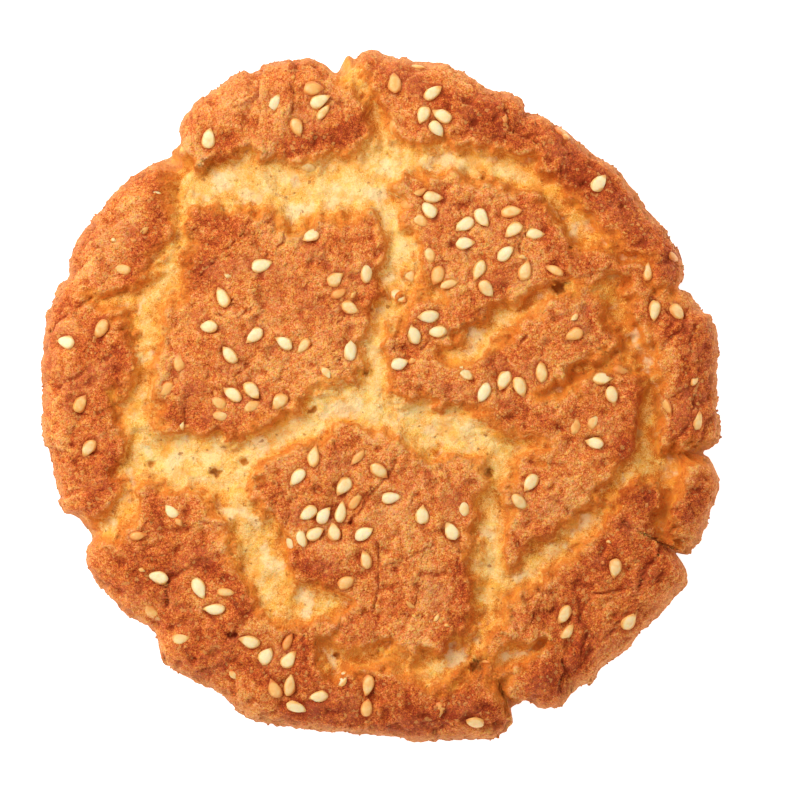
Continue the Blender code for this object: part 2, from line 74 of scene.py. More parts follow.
# Cracks, fissures and pits, as in the solid
CRACK_DEPTH = 2.0
CRACK_LIP = 0.5
CRACK_WALL = 1.7
CRACK_WALL_VARIES = (6.0, 0.8)
CRACK_DEPTH_VARIES = (9.0, 0.6)
CRACK_FADE_HEIGHTS = (1.0, 5.5)
CRACK_BLEND = 0.9
STROKE_STEPS = 4
FISSURE_HALF_WIDTH = 0.45
FISSURE_DEPTH = 0.42
FISSURE_VARIES = (1.8, 1.2)
PIT_DEPTH_RATIO = 1.7
PIT_WALL = (0.5, 1.3)
PIT_UNEVENNESS = (0.7, 0.8)
WANDERS = ((5.0, 0.70), (2.1, 0.40), (0.9, 0.18))
SWELLS = ((13.0, 0.75), (4.5, 0.40), (1.9, 0.22))

# What is finer than the solid: each pair is the size of the lumps and their height
CRUMBLE = ((2.8, 1.5), (1.3, 0.9), (0.7, 0.4))
CRUMB_LUMPS = ((2.4, 0.20), (1.3, 0.18), (0.8, 0.18), (0.55, 0.15))
DOUGH_LUMPS = ((3.0, 0.45), (1.5, 0.30), (0.7, 0.20))

# Crumb pockets, hairlines and flakes. Hairlines and the flakes' torn seams come in patches
POCKET_SIZE = 1.7
POCKET_FROM_TO = (0.18, 0.50)
POCKET_DEPTH = 0.45
HAIRLINE_SIZE = 3.6
HAIRLINE_WIDTH = 0.055
HAIRLINE_DEPTH = 0.20
PATCHES_FROM_TO = (-0.1, 0.3)
FLAKE_COUNT = 300
FLAKE_FIELD = 52.0
FLAKE_LIFT = 0.30
FLAKE_TONE = 0.07
FLAKE_SEAM = 0.30
FLAKE_SEAM_DEPTH = 0.20

# How dark painted shade makes each kind of opening, and the dents that the seeds press in, where a
# fissure counts as 1
POCKET_SHADE = 0.55
HAIRLINE_SHADE = 0.7
FLAKE_SEAM_SHADE = 0.85
DENT_SHADE = 0.75

# Sesame seeds: length, width and thickness. Each kind's sunk is a share of the thickness
SEED_SIZE = (2.90, 1.80, 0.80)
SEED_KINDS = {
    "whole": {"scale": (1.0, 1.0), "sunk": 0.10, "dent": 1.0, "toast": 0.32},
    "toasted": {"scale": (0.95, 0.72), "sunk": 0.18, "dent": 0.8, "toast": 0.58},
    "sunken": {"scale": (0.90, 0.92), "sunk": 0.26, "dent": 0.1, "toast": 0.46},
}
SEED_TOAST_SPREAD = 0.26
SEED_UNEVENNESS = 0.08
SEED_TILT = math.radians(6)
SEED_NORMAL_REACH = 1.1
DENT_DEPTH = 0.16
DENT_REACH = (1.0, 1.75)
COVER_REACH = (1.0, 2.3)

# Form of one seed of unit size: where it is widest, how its ends close, its keel and how it is warped
SEED_SEGMENTS = 14
SEED_RINGS = 10
SEED_RING_REACH = 0.01
SEED_WIDEST = -0.15
SEED_ROUND_END = 0.5
SEED_TIP_END = 1.02
SEED_KEEL = 1.02
SEED_SHIFT = 0.05
SEED_WARP = (0.45, 0.20)

# Crumbs on the crust
CRUMB_COUNT = 9400
CRUMB_KINDS = 6
CRUMB_WIDTHS = (0.26, 0.62)
CRUMB_STRETCH = (0.65, 1.15)
CRUMB_KNOCK = 0.12
CRUMB_SLIP = 0.15
CRUMB_SUNK = 0.28
CRUMB_ON_DOUGH = 0.18
CRUMB_LOWEST = 2.5

# Outline of the belly, clockwise from the notch at the top
OUTLINE = (
    (-6.3, 45.3), (-4.6, 47.5), (-3.5, 47.2), (-1.5, 48.4), (4.4, 46.8), (9.5, 45.9), (13.2, 43.8),
    (15.0, 42.6), (19.0, 41.7), (20.1, 40.9), (20.4, 39.6), (23.0, 38.9), (26.8, 36.0), (30.9, 33.1),
    (34.0, 30.5), (40.3, 22.5), (42.2, 19.6), (42.5, 16.6), (42.1, 15.1), (43.6, 14.0), (44.9, 11.6),
    (46.3, 11.0), (47.1, 7.5), (47.3, -5.2), (46.7, -6.8), (45.3, -8.0), (46.5, -10.3), (47.1, -13.0),
    (45.8, -16.5), (43.5, -22.3), (41.2, -21.7), (42.9, -24.8), (41.7, -27.5), (35.0, -34.6),
    (31.0, -37.8), (29.5, -39.9), (27.9, -40.2), (26.0, -42.2), (23.8, -43.7), (20.5, -42.9),
    (18.3, -44.0), (18.4, -46.0), (14.8, -48.2), (5.0, -48.5), (2.8, -47.8), (-4.0, -47.4),
    (-14.4, -46.3), (-19.5, -44.9), (-22.0, -42.4), (-25.5, -40.2), (-30.0, -37.8), (-31.5, -33.8),
    (-33.5, -31.6), (-36.3, -30.1), (-40.0, -25.0), (-40.8, -22.5), (-40.8, -19.3), (-42.7, -16.8),
    (-44.5, -15.8), (-46.5, -8.3), (-47.2, 2.0), (-46.2, 11.0), (-44.9, 15.0), (-43.2, 16.6),
    (-43.4, 19.0), (-41.5, 23.0), (-35.0, 30.0), (-31.2, 32.5), (-28.1, 35.2), (-28.2, 37.5),
    (-26.5, 40.0), (-19.5, 45.0), (-17.8, 45.1), (-10.7, 47.2), (-8.2, 46.5),
)

# Cracks as strokes of a broad tool: each station is x, y and half the opening there. The upper bay is
# broader than in the solid
CRACKS = {
    "upper": (
        (-30.8, 35.2, 1.4), (-27.8, 31.7, 2.4), (-25.0, 28.9, 3.5), (-20.0, 29.6, 3.9),
        (-15.0, 28.7, 4.0), (-10.0, 28.3, 3.9), (-5.0, 29.0, 4.9), (-1.5, 29.9, 4.4),
    ),
    "upper bay": ((-11.8, 26.2, 3.3), (-12.2, 24.3, 2.3)),
    "top": ((-0.8, 31.5, 3.6), (0.3, 36.5, 1.8), (-1.3, 41.0, 1.5), (-3.9, 44.5, 1.8), (-5.2, 48.0, 1.3)),
    "upper right": (
        (-0.5, 31.8, 3.5), (5.0, 33.2, 2.9), (10.0, 32.4, 2.7), (15.0, 32.2, 2.6), (20.0, 31.2, 2.5),
    ),
    "upper right end": (
        (20.0, 31.2, 2.4), (23.0, 29.2, 2.0), (25.8, 25.4, 2.0), (29.0, 21.9, 2.1), (33.0, 20.0, 1.5),
        (36.5, 19.0, 0.9),
    ),
    "left": (
        (-28.0, 30.5, 2.2), (-28.0, 25.0, 2.1), (-28.8, 20.0, 2.4), (-29.7, 16.0, 3.0),
        (-31.9, 12.5, 2.8), (-32.4, 8.0, 2.4), (-33.3, 3.6, 2.4), (-34.0, -0.5, 2.6),
        (-33.4, -4.0, 3.2), (-32.7, -8.5, 3.4), (-34.7, -13.3, 1.9), (-36.4, -16.6, 2.1),
        (-38.6, -18.4, 1.8), (-41.5, -19.8, 1.2),
    ),
    "left rim": ((-33.0, 13.5, 2.0), (-36.0, 12.9, 1.4), (-38.3, 13.2, 1.0), (-40.8, 13.2, 0.5)),
    "centre": (
        (-0.4, 28.8, 2.8), (1.3, 25.0, 2.4), (2.8, 20.0, 2.5), (2.6, 16.5, 2.6), (1.7, 13.5, 2.2),
        (0.3, 10.0, 2.1), (-1.0, 6.5, 2.3), (-0.6, 3.0, 2.7), (-1.0, -0.8, 2.9),
    ),
    "centre bay": ((3.0, 15.2, 2.0), (6.0, 14.4, 1.6), (8.8, 14.1, 1.1)),
    "middle": (
        (-33.0, -8.6, 3.8), (-26.0, -9.0, 4.3), (-20.5, -9.7, 3.9), (-15.3, -6.4, 2.8),
        (-10.0, -3.8, 3.0), (-5.0, -1.2, 3.2), (2.0, -2.5, 3.1), (7.0, -4.9, 4.1), (12.0, -5.3, 4.0),
        (15.7, -7.3, 2.8),
    ),
    "lower middle": (
        (15.7, -7.3, 2.8), (15.9, -12.0, 2.3), (15.7, -16.0, 2.9), (15.0, -20.0, 3.0),
        (15.4, -25.0, 3.0), (15.2, -29.0, 2.6),
    ),
    "lower middle end": ((15.2, -29.0, 2.6), (14.0, -33.0, 2.1), (10.0, -37.2, 2.0)),
    "right bay": ((15.0, -6.3, 2.7), (19.5, -7.0, 1.8), (23.2, -7.6, 1.1)),
    "lower right": (
        (16.3, -27.2, 2.8), (20.2, -24.9, 2.2), (24.2, -21.8, 2.3), (27.7, -18.5, 2.3),
        (30.8, -15.9, 2.0), (33.2, -12.4, 1.8), (36.5, -9.2, 2.4),
    ),
    "inner": (
        (10.5, 5.2, 1.8), (13.2, 7.3, 2.2), (16.4, 10.0, 2.5), (19.8, 12.1, 1.9), (23.5, 14.0, 1.4),
        (26.5, 14.9, 0.9), (30.0, 15.2, 1.0), (32.0, 14.6, 1.7),
    ),
    "right": (
        (32.0, 14.6, 1.7), (33.8, 11.0, 2.2), (35.2, 7.3, 2.2), (36.9, 4.6, 2.1), (37.4, 0.8, 1.8),
        (37.4, -3.0, 1.9), (36.8, -7.0, 2.4), (38.5, -10.0, 2.8), (41.7, -8.7, 1.9), (46.5, -8.0, 1.3),
    ),
    "lower right rim": (
        (40.0, -10.5, 2.4), (40.6, -13.2, 1.4), (39.7, -16.8, 1.2), (39.6, -19.8, 0.8),
        (43.0, -21.8, 0.3),
    ),
    "right rim": ((44.0, 15.0, 0.7), (40.0, 14.9, 0.7), (36.5, 15.2, 0.4), (32.0, 15.6, 1.2)),
    "inner right": (
        (22.0, -0.3, 0.8), (25.0, 0.9, 1.5), (28.0, 2.6, 1.4), (31.0, 4.6, 1.5), (34.5, 6.5, 1.8),
    ),
    "lower left": (
        (-22.8, -11.3, 2.8), (-20.4, -15.0, 3.0), (-18.4, -18.5, 3.7), (-16.7, -22.0, 3.8),
        (-15.4, -25.8, 3.2), (-13.9, -28.5, 3.5), (-10.0, -29.4, 3.0), (-5.9, -29.0, 2.0),
    ),
    "bottom": (
        (-7.6, -35.0, 1.4), (-5.3, -36.4, 2.6), (-2.4, -36.6, 1.8), (1.0, -36.2, 1.9),
        (5.0, -38.0, 2.3), (9.0, -38.3, 2.6), (12.5, -37.0, 2.0), (15.5, -36.8, 1.3),
        (18.5, -36.4, 1.2), (22.3, -34.9, 0.7),
    ),
    "bottom rim": ((16.3, -39.0, 0.6), (17.0, -41.8, 1.1), (19.0, -44.5, 0.9)),
}

# Narrow fissures that split a plate without opening it
FISSURES = (
    ((-27.0, -24.6), (-29.2, -25.3), (-29.8, -27.0), (-29.4, -28.5), (-29.9, -30.0)),
    ((27.8, -29.5), (29.5, -28.0), (31.5, -27.0), (34.0, -26.7)),
    ((27.8, -29.5), (28.5, -32.0), (28.8, -34.0), (28.0, -36.0)),
    (
        (39.5, -20.3), (38.3, -23.3), (37.0, -25.0), (36.0, -27.0), (34.8, -29.3), (33.3, -31.5),
        (32.3, -33.0),
    ),
    ((43.3, 9.8), (43.0, 7.5), (43.6, 5.5)),
    ((41.3, 8.6), (39.8, 7.0), (39.3, 5.8)),
    ((43.8, 0.0), (43.6, -2.0), (43.0, -4.0), (42.0, -5.5)),
    ((-12.8, 45.0), (-12.6, 43.3), (-12.0, 42.0)),
    ((25.2, -36.9), (25.4, -38.7), (24.6, -40.3), (24.4, -41.3)),
    ((-45.5, 9.0), (-43.0, 11.5), (-40.8, 13.2)),
    ((20.3, 36.0), (22.5, 36.3), (21.8, 37.8)),
    ((2.0, -9.3), (0.5, -11.8), (-1.2, -13.5), (-4.0, -17.3)),
    ((-0.3, -21.0), (0.0, -26.0), (-1.0, -30.0)),
    ((-37.3, 5.5), (-40.0, 4.3), (-42.5, 2.5), (-45.0, 1.0)),
)

# Hair cracks in the crust, too fine for the solid
HAIR_CRACKS = (
    (
        (-17.9, 24.2), (-18.9, 22.8), (-20.4, 21.4), (-21.3, 20.2), (-23.0, 18.6), (-24.0, 17.5),
        (-25.2, 16.6),
    ),
    ((-13.6, 23.0), (-13.9, 21.5), (-14.8, 20.6), (-15.7, 19.6)),
    ((-7.8, 22.2), (-7.6, 21.0), (-8.8, 19.6)),
    ((-9.9, 16.2), (-10.9, 15.5), (-11.3, 14.7)),
    ((-21.2, 12.4), (-20.7, 13.3)),
    ((-22.9, 11.3), (-22.0, 10.9)),
    ((-18.0, 12.1), (-19.2, 11.2), (-20.2, 10.8)),
    ((-11.0, 10.7), (-9.8, 10.2)),
    ((-15.8, 5.3), (-14.8, 4.1)),
    ((-10.0, 3.7), (-11.0, 2.9), (-12.3, 1.6)),
    ((-18.2, 3.7), (-18.9, 3.0), (-20.0, 2.8)),
    ((-24.0, 4.0), (-23.9, 1.4), (-23.4, -0.6)),
    ((21.2, 22.2), (20.1, 21.9), (19.2, 20.8), (18.9, 19.6)),
    ((16.5, 26.7), (16.1, 25.2), (16.9, 24.4)),
    ((10.4, 18.9), (9.0, 18.7), (8.4, 19.5)),
    ((20.1, 8.2), (19.6, 6.6)),
    ((24.5, 8.0), (24.1, 6.5)),
    ((18.2, 1.0), (18.6, 2.4), (19.2, 3.4)),
    ((7.2, 7.6), (6.2, 6.6), (5.2, 5.9)),
    ((-1.2, -12.6), (-2.0, -13.8), (-3.4, -15.3), (-4.2, -17.4)),
    ((2.5, -8.4), (1.3, -9.5)),
    ((-12.3, -16.0), (-13.0, -17.4), (-13.4, -18.8)),
    ((4.8, -13.4), (4.2, -15.2)),
    ((7.2, -11.4), (8.3, -11.9)),
    ((-5.4, -17.9), (-4.9, -18.9)),
    ((39.4, -20.2), (38.6, -22.5), (37.3, -24.2), (35.8, -27.0), (34.4, -28.6)),
    ((34.6, -26.6), (32.3, -27.3), (29.5, -27.7), (28.3, -29.7), (28.0, -31.6)),
    ((25.2, -36.9), (25.4, -38.7), (24.6, -40.3), (24.4, -41.3)),
    ((4.7, -26.5), (6.1, -25.8), (7.4, -25.4)),
    ((11.0, -19.6), (11.3, -22.0), (11.1, -24.4)),
    ((-7.2, -24.3), (-6.4, -23.4)),
    ((40.0, 12.2), (40.6, 10.4), (40.0, 9.0)),
    ((45.0, 4.4), (44.2, 3.0), (44.6, 1.2)),
)
HAIR_CRACK_HALF_WIDTH = 0.34
HAIR_CRACK_DEPTH = 0.45
HAIR_CRACK_USUAL = 0.8
HAIR_CRACK_VARIES = (1.3, 1.8)
HAIR_CRACK_RAGGED = (0.9, 0.28)

# Burst bubbles: x, y and radius
PITS = (
    (-36.6, -19.8, 0.5), (-32.0, -9.7, 0.55), (-22.9, -10.8, 0.7), (-18.9, -9.3, 0.6),
    (-20.6, -33.5, 0.6), (-6.1, -36.5, 0.6), (13.4, -37.7, 0.9), (-2.2, 3.0, 0.5), (-9.3, -2.0, 0.6),
    (24.8, 15.0, 0.9), (35.0, 7.7, 0.6), (15.0, -11.0, 0.7),
)

# Where the seeds fell: x, y and the bearing of the pointed tip in degrees, counter-clockwise from +X
SEEDS = {
    "whole": (
        (-23.9, 35.6, 78), (-9.4, 42.6, 0), (-8.5, 40.9, 25), (-11.6, 37.3, -70), (2.0, 43.4, 90),
        (7.2, 42.0, 35), (6.0, 39.0, 250), (8.7, 38.8, 150), (7.8, 37.0, -50), (7.2, 27.5, -5),
        (6.8, 25.7, 130), (11.8, 23.7, 215), (14.1, 24.7, -60), (11.7, 21.1, 5), (18.2, 25.5, 8),
        (18.6, 23.0, 220), (17.3, 19.6, 40), (13.7, 17.4, 245), (14.7, 14.8, -50), (20.1, 17.2, 75),
        (8.0, 16.7, 245), (6.8, 10.9, 183), (8.0, 8.8, 185), (4.7, 8.3, 105), (2.6, 4.3, 20),
        (-16.6, 18.0, 15), (-21.9, 13.5, 115), (-23.8, 9.5, 180), (-6.3, 16.1, 35), (-1.9, 16.9, 82),
        (-4.2, 12.1, -25), (-17.4, 8.3, 222), (-13.3, 7.2, 150), (-20.9, 5.5, 130), (-4.1, 6.2, 85),
        (-20.5, 0.1, 145), (-17.9, 0.7, -50), (-14.0, -0.9, 225), (-38.8, 9.3, 235), (-43.6, 7.4, 172),
        (-41.8, -1.3, 55), (-40.6, -7.4, 235), (27.0, 8.4, 212), (14.4, 0.4, 240), (17.2, 2.1, 245),
        (19.4, 1.2, -70), (22.4, 3.1, 95), (30.8, 2.3, 5), (32.2, 0.0, -70), (29.9, -6.7, 165),
        (20.9, -12.1, 235), (19.3, -14.8, -45), (38.2, 11.8, -95), (41.4, 11.6, -55), (30.4, 29.5, 50),
        (-9.3, -8.6, 80), (-11.5, -11.4, 225), (-0.2, -10.5, -40), (-5.0, -12.6, 235), (1.4, -14.3, 5),
        (-10.0, -16.4, 215), (-7.9, -16.8, 50), (-5.5, -16.4, 80), (-9.1, -19.3, 28),
        (-6.4, -19.1, 105), (-2.4, -19.3, 30), (-2.0, -23.0, 105), (5.8, -16.8, 85), (9.9, -19.0, 120),
        (-4.8, -26.1, 28), (32.7, -24.1, -95), (25.6, -30.5, 240), (34.7, -31.6, 55),
        (-30.8, -25.4, 165), (-25.2, -26.8, -65), (-23.1, -29.8, 183), (-18.1, -34.4, 165),
        (-16.0, -36.4, 58), (-12.8, -36.9, 50), (-14.7, -41.0, 112), (-12.6, -40.4, 82),
        (-11.8, -43.6, -25), (-8.6, -42.0, 195), (-1.7, -40.3, -105), (-1.9, -43.7, 80),
        (13.3, -45.8, 150), (-9.6, 22.2, 215),
    ),
    "toasted": (
        (5.1, 45.8, -15), (-8.0, 39.3, 50), (24.3, 17.3, 155), (-5.8, 14.1, 22), (-10.7, 6.8, 230),
        (-3.1, -8.7, 225), (-3.5, -14.8, 50), (-12.9, -34.4, 62), (-33.8, -19.6, 8), (-21.5, -27.4, -5),
        (39.7, -1.4, -60), (44.2, -3.7, 85), (37.2, 17.1, 85), (41.0, 19.3, 10), (25.6, 36.0, 60),
        (33.5, 3.5, -10), (9.5, 15.4, 15),
    ),
    "sunken": (
        (-14.7, 40.6, 60), (-10.0, 31.6, -20), (1.7, 37.2, 95), (3.6, 26.5, -10), (5.5, 24.3, -35),
        (21.5, 22.4, 0), (6.8, 19.6, 110), (4.0, 16.8, 110), (2.5, 13.8, -40), (-28.0, 4.4, 100),
        (-29.7, 0.8, 225), (-22.4, -1.1, 150), (-22.1, -2.9, 0), (-17.9, -1.5, 20), (-35.9, 17.5, 165),
        (11.8, 3.1, -45), (29.6, -3.7, 60), (27.1, -4.4, 80), (11.6, -15.8, 90), (-12.6, -20.5, 95),
        (-11.0, -20.0, 100), (-29.1, -16.2, 135), (-27.8, -33.9, 10), (-5.4, -39.4, 90),
    ),
}

# Broken seeds: x, y, bearing and length
CHIPS = (
    (-32.8, 23.2, 55, 1.5), (-34.4, 21.5, 0, 1.0), (-37.0, 21.6, 0, 0.8), (-31.2, 28.1, 0, 1.0),
    (17.2, 38.6, 90, 1.4), (5.4, 28.1, 30, 1.5), (19.9, 19.2, 0, 1.1), (26.5, 17.3, -30, 1.8),
    (4.6, 4.9, 40, 1.2), (-21.3, 16.5, 0, 1.0), (-3.7, 14.1, 60, 1.1), (-7.4, 3.1, 140, 1.7),
    (-27.6, -4.1, 90, 1.2), (-43.5, -4.4, 30, 1.0), (-43.3, -13.0, 20, 0.9), (27.0, 10.7, 60, 1.2),
    (43.8, 2.1, 60, 1.3), (4.0, -29.1, -30, 1.3), (-7.7, -22.5, 0, 1.0), (7.8, -31.1, 60, 1.1),
    (9.4, -32.0, 0, 0.8), (26.0, -33.2, 60, 2.0), (31.9, -20.4, 0, 0.7), (14.5, -37.1, 0, 1.1),
    (-27.8, -17.8, -30, 1.3), (-32.0, -30.2, -50, 2.7), (-33.0, -24.3, 0, 1.0),
    (-20.4, -39.1, -15, 1.8), (8.5, -44.0, -70, 2.0), (45.5, -16.0, 80, 1.5), (25.7, 36.2, 20, 2.6),
)
CHIP_CUT = 0.12
CHIP_BREAK = (1, 0.35, 0.2)
CHIP_STRETCH = 1.6
CHIP_WIDTHS = (0.60, 0.85)
CHIP_THICK = 0.75
CHIP_TILT = 2 * SEED_TILT
CHIP_SUNK = 0.15
CHIP_TOAST = (0.35, 0.85)

# How warm the dough in each crack is, from 0, cream, to 1, orange brown
DOUGH_WARMTH = {
    "upper": 0.26, "upper bay": 0.30, "top": 0.30, "upper right": 0.18, "upper right end": 0.60,
    "left": 0.32, "left rim": 0.60, "centre": 0.05, "centre bay": 0.35, "middle": 0.14,
    "lower middle": 0.34, "lower middle end": 0.80, "right bay": 0.32, "lower right": 0.34,
    "inner": 0.35, "right": 0.70, "lower right rim": 0.85, "right rim": 0.80, "inner right": 0.60,
    "lower left": 0.37, "bottom": 0.42, "bottom rim": 0.90,
}
WARMTH_REACH = 1.5

# Browning of the crust, from 0, golden, to 1, scorched: it grows towards the lower right, which is partly
# the hot side of the oven and partly painted shade on the side away from the key light
BAKE_MILD = 0.44
STRONG_BAKE_AND_SHADE = 0.50
HOT_AND_SHADED_SIDE = math.radians(-28)
HOT_AND_SHADED_FROM_TO = (-22.0, 34.0)
RIM_BAKE = 0.06
RIM_FROM_TO = (34.0, 44.0)
PALE_SIDE = (4.0, 8.4)
BAKE_MOTTLES = ((6.0, 0.16), (2.4, 0.13), (1.1, 0.08))
SCORCH_AND_SHADE_FADE = (-0.8, 1.7)

# Where it baked more or less than around it, and where walls and hollows that face away from the key
# light are darkened as painted shade: how dark, then a stroke of x, y and half its width
SCORCHES_AND_SHADES = {
    "pale left rim": (0.26, ((-34.0, 26.5, 1.6), (-37.5, 22.5, 1.8), (-40.5, 18.0, 1.0))),
    "pale left rim foot": (0.30, ((-43.5, 8.5, 1.4), (-43.5, 4.0, 0.8))),
    "pale big plate": (0.33, ((-17.0, 13.0, 2.0), (-12.0, 8.0, 2.2), (-8.0, 3.0, 2.0))),
    "pale top plate": (0.36, ((-20.0, 41.5, 1.6), (-13.0, 39.5, 1.5), (-6.5, 40.5, 1.5))),
    "pale island": (0.30, ((2.0, -16.0, 2.0), (4.0, -22.0, 2.2), (5.5, -26.0, 2.2))),
    "pale right plate": (0.36, ((27.0, -12.0, 2.0), (24.0, -15.5, 1.6))),
    "upper right rim": (0.80, (
        (0.0, 45.5, 0.8), (5.0, 43.0, 1.2), (12.0, 40.0, 1.2), (15.5, 38.0, 2.6), (21.0, 36.0, 1.9),
        (27.0, 31.0, 2.8), (33.0, 27.2, 1.9), (37.0, 22.5, 1.9), (40.3, 16.8, 1.2),
    )),
    "scorched knob": (0.97, ((25.8, 31.5, 1.4), (27.5, 30.6, 1.5))),
    "right rim": (0.74, ((41.0, 9.0, 1.8), (44.0, 7.5, 2.2), (44.0, 0.0, 2.2), (42.8, -5.2, 1.8))),
    # Painted shade: this wall, at the left of the right crack, faces away from the key light
    "right wall": (0.95, ((36.3, 1.5, 1.2), (36.4, -1.5, 1.2), (35.0, -6.0, 0.9), (33.5, -8.5, 0.6))),
    "lower right rim": (0.90, (
        (31.5, -13.5, 0.8), (36.5, -14.2, 1.4), (39.5, -17.5, 2.2), (39.5, -21.0, 1.4),
        (37.5, -25.0, 1.3),
    )),
    "far corner": (0.85, ((44.5, -14.0, 0.8), (43.2, -17.0, 1.0))),
    "lower right plate": (0.82, (
        (31.5, -22.5, 1.6), (28.3, -25.5, 2.2), (28.2, -32.0, 1.1), (28.3, -36.0, 1.0),
        (22.5, -39.8, 1.6),
    )),
    "lower right inner": (0.66, ((21.5, -29.5, 1.8), (22.5, -33.5, 1.6), (18.0, -34.0, 1.2))),
    "right plate": (0.72, ((20.0, -20.8, 1.0), (22.0, -20.3, 1.0), (25.0, -19.0, 0.8))),
    "bottom rim": (0.88, (
        (-13.0, -44.5, 0.8), (-6.0, -43.8, 1.8), (0.5, -44.3, 2.6), (5.5, -45.5, 1.6),
        (11.5, -42.6, 1.9), (16.3, -45.3, 1.1),
    )),
    "bottom plate": (0.74, (
        (-10.8, -35.0, 0.9), (-10.6, -39.5, 1.0), (-5.0, -41.0, 1.5), (4.0, -41.5, 1.2),
    )),
    # Painted shade: this wall faces away from the key light
    "lower left wall": (0.86, ((-23.8, -23.5, 0.9), (-20.0, -27.0, 1.1), (-19.6, -30.0, 0.9))),
    "lower left spot": (0.86, ((-21.6, -32.6, 1.0), (-18.8, -37.3, 1.1), (-15.5, -39.0, 0.9))),
    "lower left rim": (0.66, ((-29.6, -27.5, 0.9), (-27.0, -35.5, 1.3), (-22.0, -38.5, 1.2))),
    "left plate": (0.72, ((-31.5, -15.5, 1.2), (-31.8, -18.0, 0.9), (-27.0, -20.8, 2.2))),
    "lower right top": (0.74, ((33.2, -18.0, 1.3), (34.5, -20.5, 1.3))),
    "left plate rim": (0.58, ((-35.5, -22.0, 1.6), (-31.0, -24.5, 1.0), (-26.0, -15.5, 1.2))),
    "island corner": (0.88, ((-12.0, -22.8, 0.9), (-10.0, -24.6, 1.2), (-7.5, -25.8, 0.9))),
    "island left": (0.62, ((-14.8, -12.2, 1.2), (-14.6, -15.5, 1.4), (-12.8, -17.2, 0.8))),
    "island top": (0.62, ((-7.0, -6.8, 0.9), (-4.8, -6.0, 1.1))),
    # Painted shade: the island's right wall faces away from the key light
    "island right wall": (0.80, ((12.0, -25.0, 1.0), (11.8, -31.0, 1.0), (8.5, -34.3, 1.0))),
    "island right": (0.60, ((11.0, -11.5, 1.1), (13.0, -14.0, 0.9), (12.6, -20.0, 0.7))),
    # Painted shade: the left rim plate's walls, here and in the next two strokes, face away from the key
    # light
    "left rim wall": (0.86, (
        (-30.6, 30.5, 0.6), (-30.8, 27.0, 0.8), (-31.2, 23.2, 1.1), (-33.4, 17.8, 0.9),
        (-35.0, 15.2, 0.6),
    )),
    # Painted shade on the left rim plate's lower wall
    "left rim low wall": (0.78, (
        (-35.4, 9.0, 0.9), (-35.8, 6.5, 1.1), (-37.0, 2.0, 0.9), (-38.6, -2.0, 1.3),
        (-41.0, 0.5, 0.7),
    )),
    # Painted shade on the left rim plate's wall by its foot
    "left rim foot": (0.86, ((-36.8, -8.5, 0.8), (-37.8, -12.0, 0.9), (-40.0, -15.3, 1.1))),
    "left rim cap": (0.64, (
        (-39.5, 10.5, 1.2), (-39.5, 5.5, 1.4), (-42.0, -3.5, 1.4), (-41.5, -10.5, 2.2),
    )),
    "lower left cap": (0.66, (
        (-35.0, -26.5, 1.6), (-29.5, -22.0, 1.4), (-28.5, -31.5, 2.0), (-23.0, -34.0, 1.4),
    )),
    "big plate corner": (0.72, (
        (-25.2, 24.0, 1.0), (-20.5, 23.0, 1.4), (-24.5, 20.5, 1.6), (-26.3, 15.5, 0.9),
    )),
    "big plate edge": (0.66, (
        (-9.5, 20.3, 1.0), (-6.0, 22.0, 0.8), (-2.6, 22.3, 1.4), (-1.0, 20.5, 0.8),
    )),
    # Painted shade: the big plate's right wall faces away from the key light
    "big plate wall": (0.80, ((-0.5, 17.0, 0.5), (-0.9, 14.0, 0.8), (-1.8, 11.5, 0.6))),
    "big plate foot": (0.76, (
        (-31.3, -1.8, 1.0), (-29.0, -2.6, 0.9), (-25.5, -3.8, 0.7), (-20.0, -5.8, 0.9),
    )),
    # Painted shade: the top plate's lower edge faces away from the key light
    "top plate edge": (0.84, ((-22.6, 33.0, 1.0), (-21.3, 35.0, 0.8))),
    # Painted shade: the top plate's lower wall faces away from the key light
    "top plate wall": (0.84, (
        (-13.5, 33.8, 0.6), (-9.5, 34.8, 0.7), (-4.5, 37.0, 1.2), (-1.6, 39.5, 0.8),
    )),
    "top plate spot": (0.60, ((-12.8, 44.3, 1.0), (-12.6, 41.5, 0.7))),
    "small plate": (0.56, ((4.5, 29.5, 1.1), (9.2, 26.0, 1.0), (9.2, 21.5, 1.2))),
    "upper plate corner": (0.74, (
        (20.5, 26.8, 0.7), (23.2, 24.5, 1.0), (25.0, 20.0, 1.2), (24.2, 15.0, 1.2),
    )),
    # Painted shadow in the hollow under the upper plate's edge
    "upper plate hollow": (0.88, ((16.9, 17.5, 0.4), (16.3, 14.8, 0.6))),
    # Painted shade on the tongue's lower wall and the crack floor below it
    "tongue": (0.66, ((10.8, 9.8, 0.9), (13.2, 10.6, 0.8))),
    "tongue tip": (0.70, ((29.5, 10.5, 0.8), (31.5, 9.0, 1.0))),
    "tongue edge": (0.62, ((14.5, 3.6, 0.5), (17.5, 5.0, 0.7), (19.8, 6.8, 0.6))),
    "low plate corner": (0.60, ((3.5, 2.4, 0.7), (5.0, 1.0, 0.9))),
    "low plate edge": (0.66, (
        (17.5, -3.0, 0.9), (20.5, -4.3, 1.1), (25.0, -4.6, 0.9), (27.5, -2.0, 0.9),
    )),
    "right strip": (0.58, ((29.5, 18.3, 1.2), (34.5, 17.0, 1.4), (38.0, 14.0, 0.9))),
}

# Light and camera: the frame is this wide at the base's level
FRAME_WIDTH = 112.0
FRAME_CENTRE = (2.73, -0.70)
CAMERA_HEIGHT = 1500.0
SENSOR_WIDTH = 36.0
KEY_FROM = (-520.0, 430.0, 700.0)
KEY_SIZE = 560.0
KEY_POWER = 7.2
FILL_STRENGTH = 0.64
FLOOR_SIZE = 4000.0
FLOOR_DROP = 0.2
FLOOR_GLOW = 0.8

